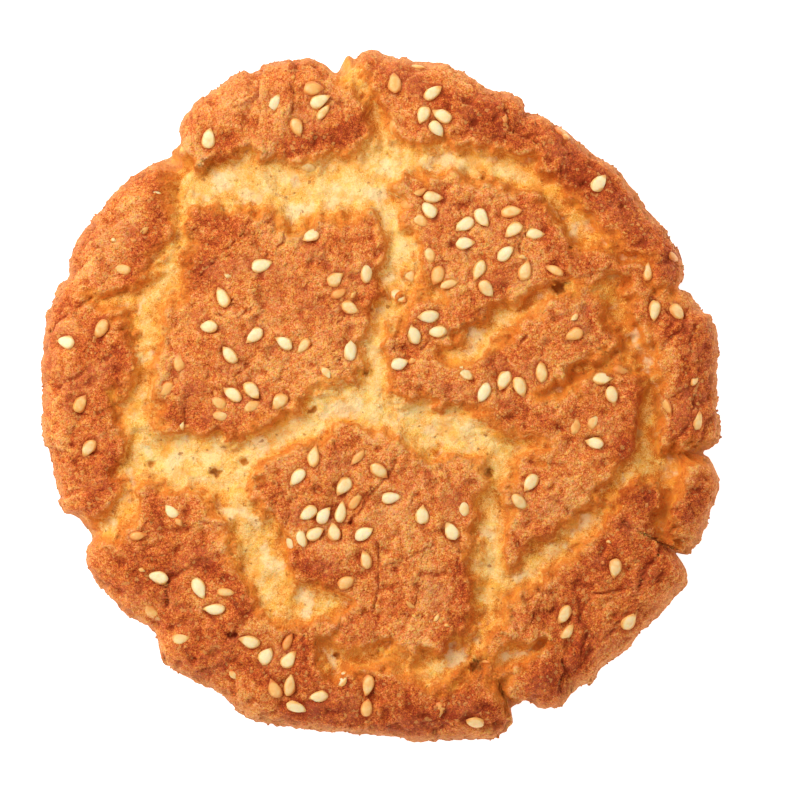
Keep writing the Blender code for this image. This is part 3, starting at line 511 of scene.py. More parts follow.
# Colours as on a screen, 0 to 255, each at its place on a ramp
DOUGH_TINTS = (
    (0.0, (252, 216, 146)), (0.30, (250, 198, 114)), (0.60, (245, 178, 86)), (0.85, (235, 154, 62)),
    (1.0, (216, 124, 44)),
)
WALL_TINTS = ((0.0, (248, 168, 78)), (0.5, (232, 130, 46)), (1.0, (190, 84, 26)))
CRUST_TINTS = (
    (0.0, (250, 186, 112)), (0.25, (241, 154, 81)), (0.50, (224, 121, 53)), (0.75, (200, 91, 38)),
    (1.0, (158, 60, 24)),
)
SEED_TINTS = (
    (0.0, (252, 231, 187)), (0.32, (249, 214, 154)), (0.60, (242, 178, 94)), (1.0, (226, 128, 48)),
)

# Colours that come over these in places, and how much of them
DULL_CRUST, DULL_SHARE = (200, 108, 66), 0.35
# Pale grains: partly pale crumbs, partly painted glints of sugar
PALE_GRAIN, PALE_GRAIN_SHARE = (250, 184, 100), 0.45
BELLY_TINT, BELLY_SHARE = (228, 152, 96), 0.55
TRAY_BROWN, TRAY_SHARE = (168, 92, 42), 0.75
# Painted shade in the openings: darker over the dough and over the crust
OPENING_SHADE_ON_DOUGH, OPENING_SHADE_ON_CRUST, OPENING_SHADE_SHARE = (190, 122, 54), (152, 54, 18), 0.66
TOASTED_DOUGH, TOASTED_SHARE = (246, 166, 66), 0.55
CHALKY_DOUGH, CHALKY_SHARE = (253, 228, 178), 0.56
DAMP_DOUGH, DAMP_SHARE = (208, 160, 96), 0.40
PORE_TINT, PORE_SHARE, SEAM_SHARE = (166, 94, 38), 0.72, 0.50

# What colours are multiplied by in places
REDDER = (1.03, 0.90, 1.04, 1.0)
YELLOWER = (1.02, 1.08, 0.80, 1.0)
GOLDEN = (1.00, 0.97, 0.72, 1.0)

# Cloudy patterns: the size of their blobs and how many finer layers they have
SAND = (0.32, 2.0)
DUST = (0.16, 1.0)
BLOTCHES = (1.7, 3.0)
FRAYS = (1.6, 3.0)
NIBBLES = (0.45, 2.0)
NIBBLED_OPENINGS = (0.4, 2.0)
DOUGH_CLOUDS = (3.4, 3.0)
DOUGH_CURDS = (0.8, 3.0)
DOUGH_GRAIN = (0.5, 3.0)
DULL_PATCHES = (5.0, 3.0)
TOASTED_PATCHES = (3.0, 3.0)
GOLDEN_PATCHES = (1.5, 3.0)
CHALKY_PATCHES = (3.6, 3.0)
DAMP_PATCHES = (2.0, 3.0)
PORE_EDGES = (0.3, 2.0)
PORE_PATCHES = (3.0, 2.0)
SEAM_LINES = (1.1, 3.0)
SEAM_PATCHES = (1.6, 2.0)
CRUST_SHEEN = (0.7, 2.0)
SEED_CLOUDS = (0.9, 3.0)
SEED_SHEEN = (0.5, 2.0)
SEED_RIDGES = (0.4, 3.0)

# Grainy patterns: the size of the grains, and the size and reach of the shifts that stir them
GRAIN_SIZE, GRAIN_STIR = 0.42, (0.8, 0.5)
HUE_SIZE, HUE_STIR = 0.24, (0.5, 0.3)
LUMP_SIZE, LUMP_STIR = 2.2, (1.2, 1.2)
TOASTED_STIR = (2.0, 1.4)
PORE_SPACING = 2.0

# How far from a crack's edge, below 0 inside it, one look turns into the next
DOUGH_TO_WALL = (-1.3, -0.2)
WALL_TO_CRUST = (-0.2, 0.9)
DOUGH_ENDS = (-0.8, 0.3)
# The dough warms towards the wall over this reach: partly its own colour, partly painted warm shade and
# bounced light
DOUGH_WARMS_AND_SHADES = (-2.8, -0.3)
CHALK_ENDS = (-2.2, -0.9)
LUMPS_CHANGE = (-1.3, 0.2)
CRUST_DARKENS = (0.3, 2.6)
DULL_STARTS = (1.2, 2.6)

# Which part of a pattern shows
DULL_PART = (0.48, 0.66)
HUE_PART = (0.50, 0.75)
PALE_GRAIN_PART = (0.91, 0.95)
BELLY_PART = (0.15, 0.9)
TRAY_HEIGHTS = (0.5, 5.0)
OPENED_PART = (0.25, 0.95)
TOASTED_PART = (0.53, 0.66)
GOLDEN_PART = (0.50, 0.62)
CHALKY_PART = (0.52, 0.64)
DAMP_PART = (0.60, 0.72)
PORE_PART = (0.06, 0.15)
SEAM_PART = (0.003, 0.030)
SEAM_PATCH_PART = (0.58, 0.66)
SEED_EDGE_PART = (0.08, 0.24)
SEED_TIP_PART = (0.22, 0.55)

CRUST_RELIEF = 0.34
SEED_RELIEF = 0.10


def spline(points, steps, closed):
    """A smooth curve through the points, with the given steps between each two."""
    through = np.array(points, dtype=float)
    before, after, beyond = (np.roll(through, shift, axis=0) for shift in (1, -1, -2))
    if not closed:
        before[0], after[-1], beyond[-2:] = through[0], through[-1], through[-1]
    share = (np.arange(steps) / steps).reshape(1, -1, 1)
    a, b, c, d = (group[:, None, :] for group in (before, through, after, beyond))
    line = (2 * a - 5 * b + 4 * c - d) * share**2 + (3 * b - a - 3 * c + d) * share**3
    curve = (0.5 * (2 * b + (c - a) * share + line)).reshape(-1, through.shape[1])
    return curve if closed else curve[:(len(through) - 1) * steps + 1]


def belly_radius():
    """A function that gives the cookie's radius at its belly for an array of bearings."""
    curve = spline(OUTLINE, OUTLINE_STEPS, closed=True)
    bearings = np.arctan2(curve[:, 1], curve[:, 0])
    radii = np.hypot(curve[:, 0], curve[:, 1])
    order = np.argsort(bearings)
    return lambda bearing: np.interp(bearing, bearings[order], radii[order], period=2 * math.pi)


def share_of(value, low, high):
    """How far a value is on its way from low to high, kept within 0 and 1."""
    return np.clip((value - low) / (high - low), 0, 1)


def smooth_step(low, high, value):
    share = share_of(value, low, high)
    return share * share * (3 - 2 * share)


def bumps(points, size):
    """Smooth noise from -1 to 1 at each point, with bumps of the given size."""
    return np.array([noise.noise(Vector(point) / size) for point in points])


def varied(points, size, share):
    """A share more or less than usual at each point, over patches of the given size."""
    return share * bumps(points, size)


def wander(x, y):
    """The places with a crumbly shift, so that crack edges come out ragged."""
    here = np.column_stack((x, y, np.zeros_like(x)))
    shift = np.zeros_like(here)
    for size, reach in WANDERS:
        shift += reach * np.array([noise.noise_vector(Vector(point) / size) for point in here])
    return x + shift[:, 0], y + shift[:, 1]


def distance_to_stroke(x, y, stations):
    """How far each place lies outside a stroke, below 0 inside it."""
    nearest = np.full_like(x, FAR)
    for (ax, ay, a_half), (bx, by, b_half) in zip(stations, stations[1:]):
        run_x, run_y = bx - ax, by - ay
        share = np.clip(((x - ax) * run_x + (y - ay) * run_y) / (run_x**2 + run_y**2), 0, 1)
        gap = np.hypot(x - ax - share * run_x, y - ay - share * run_y)
        nearest = np.minimum(nearest, gap - a_half - share * (b_half - a_half))
    return nearest


def distance_to_cracks(x, y):
    """The same for all the cracks, rounded where two meet, and how warm the dough is there."""
    nearest = np.full_like(x, FAR)
    warmth, weight = np.zeros_like(x), np.zeros_like(x)
    for name, stations in CRACKS.items():
        other = distance_to_stroke(x, y, spline(stations, STROKE_STEPS, closed=False))
        overlap = np.clip(CRACK_BLEND - np.abs(nearest - other), 0, None)
        nearest = np.minimum(nearest, other) - overlap**2 / (4 * CRACK_BLEND)
        near = np.exp(-np.clip(other, -CRACK_DEPTH, None) / WARMTH_REACH)
        warmth += near * DOUGH_WARMTH[name]
        weight += near
    return nearest, warmth / np.maximum(weight, 1 / FAR)


def distance_to_lines(x, y, lines):
    """How far each place is from the nearest of some bent lines."""
    return np.min([distance_to_stroke(x, y, [(px, py, 0) for px, py in line]) for line in lines], axis=0)


def relief(x, y, height):
    """How far the skin stands out from the plain profile at each place, as in the solid, and its marks.

    Only the crumble that is added to the gap is a little stronger and finer.
    """
    rise = sum(tall * bumps(np.column_stack((x, y, height)), size) for size, tall in SWELLS)
    ragged_x, ragged_y = wander(x, y)
    gap, warmth = distance_to_cracks(ragged_x, ragged_y)
    gap = gap + sum(reach * bumps(np.column_stack((x, y, height)), size) for size, reach in CRUMBLE)
    level = np.column_stack((x, y, np.zeros_like(x)))
    wall = CRACK_WALL * (1 + varied(level, *CRACK_WALL_VARIES))
    opened = (1 - smooth_step(-wall, CRACK_LIP, gap)) * (1 + varied(level + FAR, *CRACK_DEPTH_VARIES))
    split = 1 - smooth_step(0, FISSURE_HALF_WIDTH, distance_to_lines(ragged_x, ragged_y, FISSURES))
    split = split * np.clip(1 + varied(level, *FISSURE_VARIES), 0, 1)
    out_of_round = varied(level, *PIT_UNEVENNESS)
    burst = np.zeros_like(x)
    for pit_x, pit_y, radius in PITS:
        away = np.hypot(x - pit_x, y - pit_y) / radius + out_of_round
        burst += PIT_DEPTH_RATIO * radius * (1 - smooth_step(*PIT_WALL, away))
    sunk = CRACK_DEPTH * opened + FISSURE_DEPTH * split + burst
    step = (rise - sunk) * smooth_step(*CRACK_FADE_HEIGHTS, height)
    return step, {"gap": gap, "warmth": warmth, "crevice": np.maximum(split, share_of(burst, 0, 1))}


def dents(x, y):
    """How far each place is pressed down by a seed, and how far one covers it, from 0 to 1."""
    pressed, covered = np.zeros_like(x), np.zeros_like(x)
    for kind, places in SEEDS.items():
        long, wide = (size * scale / 2 for size, scale in zip(SEED_SIZE, SEED_KINDS[kind]["scale"]))
        for seed_x, seed_y, tip in places:
            turn = math.radians(tip)
            along = (x - seed_x) * math.cos(turn) + (y - seed_y) * math.sin(turn)
            across = (y - seed_y) * math.cos(turn) - (x - seed_x) * math.sin(turn)
            away = np.hypot(along / long, across / wide)
            covered = np.maximum(covered, 1 - smooth_step(*COVER_REACH, away))
            pressed = np.maximum(pressed, (1 - smooth_step(*DENT_REACH, away)) * SEED_KINDS[kind]["dent"])
    return pressed, covered


def flakes(x, y):
    """Flakes that the crust lifts in: lift and tone of the one at each place, and its torn seam."""
    draw = np.random.default_rng(RANDOM_SEED + 4)
    nearest, second = np.full_like(x, FAR), np.full_like(x, FAR)
    lift, tone = np.zeros_like(x), np.zeros_like(x)
    for middle_x, middle_y, own_lift, own_tone in draw.uniform(-1, 1, (FLAKE_COUNT, 4)):
        away = np.hypot(x - middle_x * FLAKE_FIELD, y - middle_y * FLAKE_FIELD)
        closer = away < nearest
        second = np.where(closer, nearest, np.minimum(second, away))
        lift, tone = np.where(closer, own_lift, lift), np.where(closer, own_tone, tone)
        nearest = np.minimum(nearest, away)
    return lift, tone, 1 - smooth_step(0, FLAKE_SEAM, second - nearest)


def hair_creases(x, y, here):
    """How deep in a hair crack each place lies, from 0 to 1. A crack comes and goes along its length."""
    away = distance_to_lines(x, y, HAIR_CRACKS) + varied(here, *HAIR_CRACK_RAGGED)
    creased = 1 - smooth_step(0, HAIR_CRACK_HALF_WIDTH, away)
    return creased * np.clip(HAIR_CRACK_USUAL + varied(here, *HAIR_CRACK_VARIES), 0, 1)


def crumble(x, y, height, marks):
    """The finer relief that goes on top, and the places where it opens the crust a little, which the
    colour darkens as painted shade.
    """
    here = np.column_stack((x, y, height))
    crust = smooth_step(-CRACK_WALL, CRACK_LIP, marks["gap"])
    lumps = sum(tall * bumps(here, size) for size, tall in CRUMB_LUMPS)
    soft_lumps = sum(tall * bumps(here, size) for size, tall in DOUGH_LUMPS)
    pockets = smooth_step(*POCKET_FROM_TO, bumps(here + FAR, POCKET_SIZE)) * crust
    veins = 1 - smooth_step(0, HAIRLINE_WIDTH, np.abs(bumps(here - FAR, HAIRLINE_SIZE)))
    patches = smooth_step(*PATCHES_FROM_TO, bumps(here + 2 * FAR, 2 * HAIRLINE_SIZE))
    hairlines = veins * patches * crust
    pressed, covered = dents(x, y)
    ragged = wander(x, y)
    lift, tone, torn = flakes(*ragged)
    torn = torn * patches * crust
    creased = hair_creases(*ragged, here)
    fine = (lumps * crust + soft_lumps * (1 - crust) + FLAKE_LIFT * lift * crust) * (1 - covered)
    sunk = POCKET_DEPTH * pockets + HAIRLINE_DEPTH * hairlines + FLAKE_SEAM_DEPTH * torn
    sunk = sunk + DENT_DEPTH * pressed + HAIR_CRACK_DEPTH * creased
    # Openings, whose colour is darkened as painted shade
    opening = np.maximum.reduce([
        marks["crevice"], creased, POCKET_SHADE * pockets, HAIRLINE_SHADE * hairlines,
        FLAKE_SEAM_SHADE * torn, DENT_SHADE * pressed,
    ])
    return fine - sunk, {**marks, "crevice": opening, "flake": tone}


def shoulders(bearing, radius_at):
    """How far out the shoulder lies, and the same with the notches evened out."""
    even = sum(radius_at(bearing + turn) for turn in EVENING_TURNS) / len(EVENING_TURNS)
    return radius_at(bearing) - EDGE_WIDTH, even - EDGE_WIDTH


def skin(travel, bearing, radius_at, crumbly):
    """Points of the skin, an (n, 3) array, and its marks, for travels from 0 to 1 at some bearings."""
    shoulder, even_shoulder = shoulders(bearing, radius_at)
    on_top = share_of(travel, 0, TRAVEL_TO_SHOULDER)
    over_edge = share_of(travel, TRAVEL_TO_SHOULDER, TRAVEL_TO_BELLY) * math.pi / 2
    to_foot = share_of(travel, TRAVEL_TO_BELLY, 1) * math.pi / 2
    across_top = (even_shoulder + (shoulder - even_shoulder) * on_top**EDGE_GRIP) * on_top
    from_centre = share_of(across_top, 0, even_shoulder)
    dome = SHOULDER_HEIGHT + (CENTRE_HEIGHT - SHOULDER_HEIGHT) * (1 - from_centre**2)
    out = across_top + EDGE_WIDTH * np.sin(over_edge) - FOOT_INSET * (1 - np.cos(to_foot))
    drop = (SHOULDER_HEIGHT - BELLY_HEIGHT) * (1 - np.cos(over_edge)) + BELLY_HEIGHT * np.sin(to_foot)
    height = dome * (1 - drop / SHOULDER_HEIGHT)
    lean = over_edge + to_foot
    x, y = out * np.cos(bearing), out * np.sin(bearing)
    step, marks = relief(x, y, height)
    if crumbly:
        finer, marks = crumble(x, y, height, marks)
        step = step + finer * smooth_step(0, CRACK_FADE_HEIGHTS[0], height)
        # The crust's darkness: how it baked, with painted shade
        marks["bake"] = browning_and_shade(x, y) + FLAKE_TONE * marks.pop("flake")
        marks["side"] = 1 - smooth_step(*PALE_SIDE, height)
        marks["step"] = step
    out = out + step * np.sin(lean)
    height = height + step * np.cos(lean)
    return np.column_stack((out * np.cos(bearing), out * np.sin(bearing), height)), marks


def skin_above(x, y, radius_at):
    """The point of the skin over a place seen from straight above."""
    bearing = np.arctan2(y, x)
    shoulder, even_shoulder = shoulders(bearing, radius_at)
    away = np.hypot(x, y)
    over_edge = np.arcsin(np.clip((away - shoulder) / EDGE_WIDTH, 0, 1)) / (math.pi / 2)
    on_top = np.clip(away / shoulder, 0, 1)
    for _ in range(TRAVEL_ROUNDS):
        reach = even_shoulder + (shoulder - even_shoulder) * on_top**EDGE_GRIP
        on_top = np.where(away >= shoulder, 1, np.clip(away / reach, 0, 1))
    travel = TRAVEL_TO_SHOULDER * on_top + (TRAVEL_TO_BELLY - TRAVEL_TO_SHOULDER) * over_edge
    return skin(travel, bearing, radius_at, crumbly=False)[0]


def square_to_disc(a, b):
    """A square grid from -1 to 1 bent to a disc: the travel and bearing of each corner."""
    travel = np.maximum(np.abs(a), np.abs(b))
    safe = np.where(travel == 0, 1, travel)
    across = np.where(np.abs(a) >= np.abs(b), b / safe * np.sign(a), a / safe * np.sign(b)) * math.pi / 4
    from_x = np.where(a >= 0, across, math.pi + across)
    from_y = np.where(b >= 0, math.pi / 2 - across, -math.pi / 2 - across)
    return travel, np.where(np.abs(a) >= np.abs(b), from_x, from_y)


def browning_and_shade(x, y):
    """How dark the crust is at each place, from 0, golden, to 1, scorched: how it baked, with painted
    shade on the side away from the key light and on walls and hollows that face away from it.
    """
    here = np.column_stack((x, y, np.full_like(x, -FAR)))
    mottle = sum(tall * bumps(here, size) for size, tall in BAKE_MOTTLES)
    # Darker towards the lower right: partly the oven's hot side, partly painted shade away from the key
    # light
    towards = x * math.cos(HOT_AND_SHADED_SIDE) + y * math.sin(HOT_AND_SHADED_SIDE)
    bake = BAKE_MILD + (STRONG_BAKE_AND_SHADE - BAKE_MILD) * smooth_step(*HOT_AND_SHADED_FROM_TO, towards)
    bake = bake + RIM_BAKE * smooth_step(*RIM_FROM_TO, np.hypot(x, y))
    ragged_x, ragged_y = wander(x, y)
    for dark, stations in SCORCHES_AND_SHADES.values():
        away = distance_to_stroke(ragged_x, ragged_y, stations)
        bake = bake + (dark - bake) * (1 - smooth_step(*SCORCH_AND_SHADE_FADE, away))
    return bake + mottle


def blurred(field, times):
    """A square field with each value evened out with its four neighbours."""
    for _ in range(times):
        wide = np.pad(field, 1, mode="edge")
        field = (wide[:-2, 1:-1] + wide[2:, 1:-1] + wide[1:-1, :-2] + wide[1:-1, 2:]) / 4
    return field


def add_marks(mesh, marks):
    for name, values in marks.items():
        mark = mesh.attributes.new(name, "FLOAT", "POINT")
        mark.data.foreach_set("value", np.asarray(values, dtype=np.float32))


def corners_of(mesh):
    flat = np.empty(len(mesh.vertices) * 3, dtype=np.float32)
    mesh.vertices.foreach_get("co", flat)
    return flat.reshape(-1, 3).astype(float)


def add_piece(name):
    """The primitive that was just added, as a piece under its own name."""
    piece = bpy.context.object
    piece.name = name
    piece.data.name = name
    return piece


def finish_piece(piece, finish):
    piece.data.materials.clear()
    piece.data.materials.append(finish)
    piece.data.shade_smooth()
    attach(piece, BODY)


def model_skin(radius_at):
    """Top, side and base of the cookie: a grid bent over the form, then drawn in along the base."""
    bpy.ops.object.select_all(action="DESELECT")
    bpy.ops.mesh.primitive_grid_add(x_subdivisions=SKIN_STEPS, y_subdivisions=SKIN_STEPS, size=2)
    piece = add_piece("baked_crust")
    square = corners_of(piece.data)
    points, marks = skin(*square_to_disc(square[:, 0], square[:, 1]), radius_at, crumbly=True)
    at_foot = np.maximum(np.abs(square[:, 0]), np.abs(square[:, 1])) > 1 - 0.5 / SKIN_STEPS
    points[at_foot, 2] = 0
    piece.data.vertices.foreach_set("co", (points * MM).astype(np.float32).ravel())
    side = SKIN_STEPS + 1
    step = marks.pop("step").reshape(side, side)
    # How far each place lies below its surroundings; the colours use it for painted shade in hollows and
    # painted light on crests
    marks["hollow"] = (blurred(step, HOLLOW_BLUR) - step).ravel()
    add_marks(piece.data, marks)
    close_base(piece)
    return piece


def close_base(piece):
    """Draws the foot's edge in along the tray's plane and fills what is left."""
    bpy.ops.object.mode_set(mode="EDIT")
    bpy.ops.mesh.select_mode(type="VERT")
    bpy.ops.mesh.select_all(action="DESELECT")
    bpy.ops.mesh.select_non_manifold(extend=False, use_boundary=True, use_multi_face=False,
                                     use_non_contiguous=False, use_verts=False, use_wire=False)
    for share in BASE_RINGS:
        bpy.ops.mesh.extrude_region_move()
        bpy.ops.transform.resize(value=(share, share, 1), center_override=(0, 0, 0))
    bpy.ops.mesh.edge_face_add()
    bpy.ops.mesh.select_all(action="SELECT")
    bpy.ops.mesh.normals_make_consistent(inside=False)
    bpy.ops.object.mode_set(mode="OBJECT")


def pick_corners(piece, wanted):
    """Selects the corners of a piece in edit mode whose place is wanted."""
    shell = bmesh.from_edit_mesh(piece.data)
    bpy.ops.mesh.select_all(action="DESELECT")
    for corner in shell.verts:
        corner.select = wanted(corner.co)
    shell.select_flush_mode()
    bmesh.update_edit_mesh(piece.data)


def seed_girth(along):
    """The share of the round start's girth that a seed keeps at a place along it, drawn in to a tip."""
    behind = along < SEED_WIDEST
    away = abs(along - SEED_WIDEST) / (0.5 + SEED_WIDEST if behind else 0.5 - SEED_WIDEST)
    girth = (1 - away**2) ** (SEED_ROUND_END if behind else SEED_TIP_END)
    return girth / math.sqrt(1 - (2 * along) ** 2)


def model_seed():
    """One sesame seed of unit size with its point at +X, to be sized when it is laid."""
    bpy.ops.object.select_all(action="DESELECT")
    bpy.ops.mesh.primitive_uv_sphere_add(segments=SEED_SEGMENTS, ring_count=SEED_RINGS, radius=0.5)
    seed = add_piece("seed")
    bpy.ops.object.mode_set(mode="EDIT")
    bpy.ops.transform.rotate(value=math.pi / 2, orient_axis="Y", center_override=(0, 0, 0))
    for ring in range(1, SEED_RINGS):
        along = -0.5 * math.cos(math.pi * ring / SEED_RINGS)
        pick_corners(seed, lambda place: abs(place.x - along) < SEED_RING_REACH)
        girth = seed_girth(along)
        bpy.ops.transform.resize(value=(1, girth, girth), center_override=(along, 0, 0))
    pick_corners(seed, lambda place: abs(place.z) < SEED_RING_REACH)
    bpy.ops.transform.resize(value=(1, SEED_KEEL, 1), center_override=(0, 0, 0))
    bpy.ops.mesh.select_all(action="SELECT")
    bpy.ops.transform.translate(value=(SEED_SHIFT, 0, 0))
    bpy.ops.mesh.normals_make_consistent(inside=False)
    bpy.ops.object.mode_set(mode="OBJECT")
    return seed


def broken(seed, name, along, keep_tip):
    """A copy of the seed that is broken across."""
    bpy.ops.object.select_all(action="DESELECT")
    bit = bpy.data.objects.new(name, seed.data.copy())
    bpy.context.collection.objects.link(bit)
    bpy.context.view_layer.objects.active = bit
    bit.select_set(True)
    bpy.ops.object.mode_set(mode="EDIT")
    bpy.ops.mesh.select_all(action="SELECT")
    bpy.ops.mesh.bisect(plane_co=(along, 0, 0), plane_no=CHIP_BREAK, use_fill=True,
                        clear_inner=keep_tip, clear_outer=not keep_tip)
    bpy.ops.object.mode_set(mode="OBJECT")
    return bit


def lie_on_skin(x, y, radius_at):
    """Where a seed lies and how the skin under it leans."""
    offsets = ((0, 0), (1, 0), (-1, 0), (0, 1), (0, -1))
    px = np.array([x + SEED_NORMAL_REACH * dx for dx, _ in offsets])
    py = np.array([y + SEED_NORMAL_REACH * dy for _, dy in offsets])
    middle, east, west, north, south = (Vector(point) for point in skin_above(px, py, radius_at))
    normal = (east - west).cross(north - south).normalized()
    around = (east + west + north + south) / 4
    return (middle + around) / 2, normal


def lay(seed, size, place, tilt, sunk, radius_at, toast):
    """A copy of a seed with its own mesh, sized, sunk into the skin and marked with how toasted it is."""
    x, y, tip = place
    spot, normal = lie_on_skin(x, y, radius_at)
    pointing = Vector((math.cos(math.radians(tip)), math.sin(math.radians(tip)), 0))
    forward = (pointing - normal * pointing.dot(normal)).normalized()
    stance = Matrix((forward, normal.cross(forward), normal)).transposed()
    where = (stance @ Matrix.Rotation(tilt, 3, "Y")).to_4x4()
    where.translation = spot - normal * sunk
    mesh = seed.data.copy()
    unit = corners_of(mesh)
    warp = varied(unit + x + y, *SEED_WARP)
    mesh.vertices.foreach_set("co", (unit * (1 + warp[:, None])).ravel())
    add_marks(mesh, {
        "along": unit[:, 0],
        "across": unit[:, 1],
        "toast": np.full(len(unit), toast),
    })
    mesh.transform(Matrix.Scale(MM, 4) @ where @ Matrix.Diagonal((*size, 1)))
    copy = bpy.data.objects.new("seed copy", mesh)
    bpy.context.collection.objects.link(copy)
    return copy


def join(copies, name):
    """The copies joined into one piece."""
    bpy.ops.object.select_all(action="DESELECT")
    for copy in copies:
        copy.select_set(True)
    bpy.context.view_layer.objects.active = copies[0]
    bpy.ops.object.join()
    return add_piece(name)


def model_seeds(seed, radius_at):
    """The seeds of each kind as one piece, laid by the same draw as in the solid."""
    draw = np.random.default_rng(RANDOM_SEED)
    tone = np.random.default_rng(RANDOM_SEED + 1)
    pieces = []
    for kind, places in SEEDS.items():
        along, across = SEED_KINDS[kind]["scale"]
        sunk = SEED_KINDS[kind]["sunk"]
        copies = []
        for place in places:
            shares = 1 + draw.uniform(-SEED_UNEVENNESS, SEED_UNEVENNESS, 3)
            length, width, thick = (size * share for size, share in zip(SEED_SIZE, shares))
            tilt = draw.uniform(-SEED_TILT, SEED_TILT)
            toast = SEED_KINDS[kind]["toast"] + tone.uniform(-SEED_TOAST_SPREAD, SEED_TOAST_SPREAD)
            size = (length * along, width * across, thick)
            copies.append(lay(seed, size, place, tilt, sunk * thick, radius_at, toast))
        pieces.append(join(copies, kind + "_sesame"))
    return pieces


def model_chips(seed, radius_at):
    """Halves and flakes of seeds that broke before they were scattered."""
    draw = np.random.default_rng(RANDOM_SEED + 2)
    halves = [broken(seed, "blunt half", CHIP_CUT, False), broken(seed, "pointed half", -CHIP_CUT, True)]
    copies = []
    for k, (x, y, tip, length) in enumerate(CHIPS):
        size = (length * CHIP_STRETCH, length * draw.uniform(*CHIP_WIDTHS), CHIP_THICK)
        tilt = draw.uniform(-CHIP_TILT, CHIP_TILT)
        toast = draw.uniform(*CHIP_TOAST)
        copies.append(lay(halves[k % 2], size, (x, y, tip), tilt, CHIP_SUNK, radius_at, toast))
    for half in halves:
        bpy.data.objects.remove(half, do_unlink=True)
    return join(copies, "sesame_chips")


def model_crumb_kinds():
    """A few crumbs, each a little round lump that is knocked out of shape its own way."""
    kinds = []
    for k in range(CRUMB_KINDS):
        bpy.ops.object.select_all(action="DESELECT")
        bpy.ops.mesh.primitive_ico_sphere_add(subdivisions=1, radius=0.5)
        crumb = add_piece("crumb")
        bpy.ops.object.mode_set(mode="EDIT")
        bpy.ops.mesh.select_all(action="SELECT")
        bpy.ops.transform.vertex_random(offset=CRUMB_KNOCK, seed=k)
        bpy.ops.object.mode_set(mode="OBJECT")
        faces = np.array([face.vertices[:] for face in crumb.data.polygons])
        kinds.append((corners_of(crumb.data), faces))
        bpy.data.objects.remove(crumb, do_unlink=True)
    return kinds


def random_turns(draw, count):
    """Turns in every direction alike, as an (n, 3, 3) array."""
    w, x, y, z = draw.normal(size=(4, count))
    size = np.sqrt(w**2 + x**2 + y**2 + z**2)
    w, x, y, z = w / size, x / size, y / size, z / size
    return np.array([
        [1 - 2 * (y * y + z * z), 2 * (x * y - w * z), 2 * (x * z + w * y)],
        [2 * (x * y + w * z), 1 - 2 * (x * x + z * z), 2 * (y * z - w * x)],
        [2 * (x * z - w * y), 2 * (y * z + w * x), 1 - 2 * (x * x + y * y)],
    ]).transpose(2, 0, 1)


def model_crumbs(crust):
    """Crumbs that stick to the crust, thick on the plates and on the walls of the cracks."""
    draw = np.random.default_rng(RANDOM_SEED + 3)
    mesh = crust.data
    points = corners_of(mesh) / MM
    normals = np.array([corner.normal[:] for corner in mesh.vertices])
    marks = {name: np.array([item.value for item in mesh.attributes[name].data]) for name in SHARED_MARKS}
    chance = CRUMB_ON_DOUGH + (1 - CRUMB_ON_DOUGH) * smooth_step(-CRACK_WALL, CRACK_LIP, marks["gap"])
    chance = chance * (points[:, 2] > CRUMB_LOWEST) * (1 - dents(points[:, 0], points[:, 1])[1])
    chosen = draw.choice(len(points), size=CRUMB_COUNT, replace=False, p=chance / chance.sum())
    width = CRUMB_WIDTHS[0] + (CRUMB_WIDTHS[1] - CRUMB_WIDTHS[0]) * draw.random(CRUMB_COUNT) ** 2
    stretch = width[:, None] * draw.uniform(*CRUMB_STRETCH, (CRUMB_COUNT, 3))
    turns = random_turns(draw, CRUMB_COUNT)
    slip = draw.uniform(-CRUMB_SLIP, CRUMB_SLIP, (CRUMB_COUNT, 3))
    where = points[chosen] + slip - normals[chosen] * (CRUMB_SUNK * width)[:, None]
    kind = draw.integers(0, CRUMB_KINDS, CRUMB_COUNT)
    corners, faces, owner = [], [], []
    start = 0
    for k, (shape, sides) in enumerate(model_crumb_kinds()):
        own = np.flatnonzero(kind == k)
        lumps = np.einsum("nij,nkj->nki", turns[own], shape[None] * stretch[own][:, None, :])
        corners.append((lumps + where[own][:, None, :]).reshape(-1, 3))
        offsets = start + np.arange(len(own)) * len(shape)
        faces.append((offsets[:, None, None] + sides[None]).reshape(-1, 3))
        owner.append(np.repeat(chosen[own], len(shape)))
        start += len(own) * len(shape)
    crumbs = bpy.data.meshes.new("crumbs")
    crumbs.from_pydata((np.concatenate(corners) * MM).tolist(), [], np.concatenate(faces).tolist())
    owner = np.concatenate(owner)
    lighter = draw.uniform(-1, 1, len(points))
    add_marks(crumbs, {name: values[owner] for name, values in marks.items()})
    add_marks(crumbs, {"lighter": lighter[owner]})
    piece = bpy.data.objects.new("crumbs", crumbs)
    bpy.context.collection.objects.link(piece)
    return piece


def tint(colour):
    """A colour given as on a screen, with no part under 11, in the shader's own terms."""
    shares = (part / 255 for part in colour)
    return (*(((share + 0.055) / 1.055) ** 2.4 for share in shares), 1.0)


def mottled(tone, *patterns):
    """A tone moved up and down by patterns that run from 0 to 1, each with the range of its move."""
    for pattern, reach in patterns:
        tone = tone + (pattern - 0.5) * reach
    return tone


class Wire:
    """What comes out of a node. Sums and products of it add Math nodes to its finish."""

    def __init__(self, finish, socket):
        self.finish = finish
        self.socket = socket

    def reckon(self, operation, first, second=0.0):
        return self.finish.node("ShaderNodeMath", {"operation": operation}, {0: first, 1: second})

    def __add__(self, other):
        return self.reckon("ADD", self, other)

    __radd__ = __add__

    def __sub__(self, other):
        return self.reckon("SUBTRACT", self, other)

    def __rsub__(self, other):
        return self.reckon("SUBTRACT", other, self)

    def __mul__(self, other):
        return self.reckon("MULTIPLY", self, other)

    __rmul__ = __mul__

    def __abs__(self):
        return self.reckon("ABSOLUTE", self)

    def or_more(self, other):
        return self.reckon("MAXIMUM", self, other)


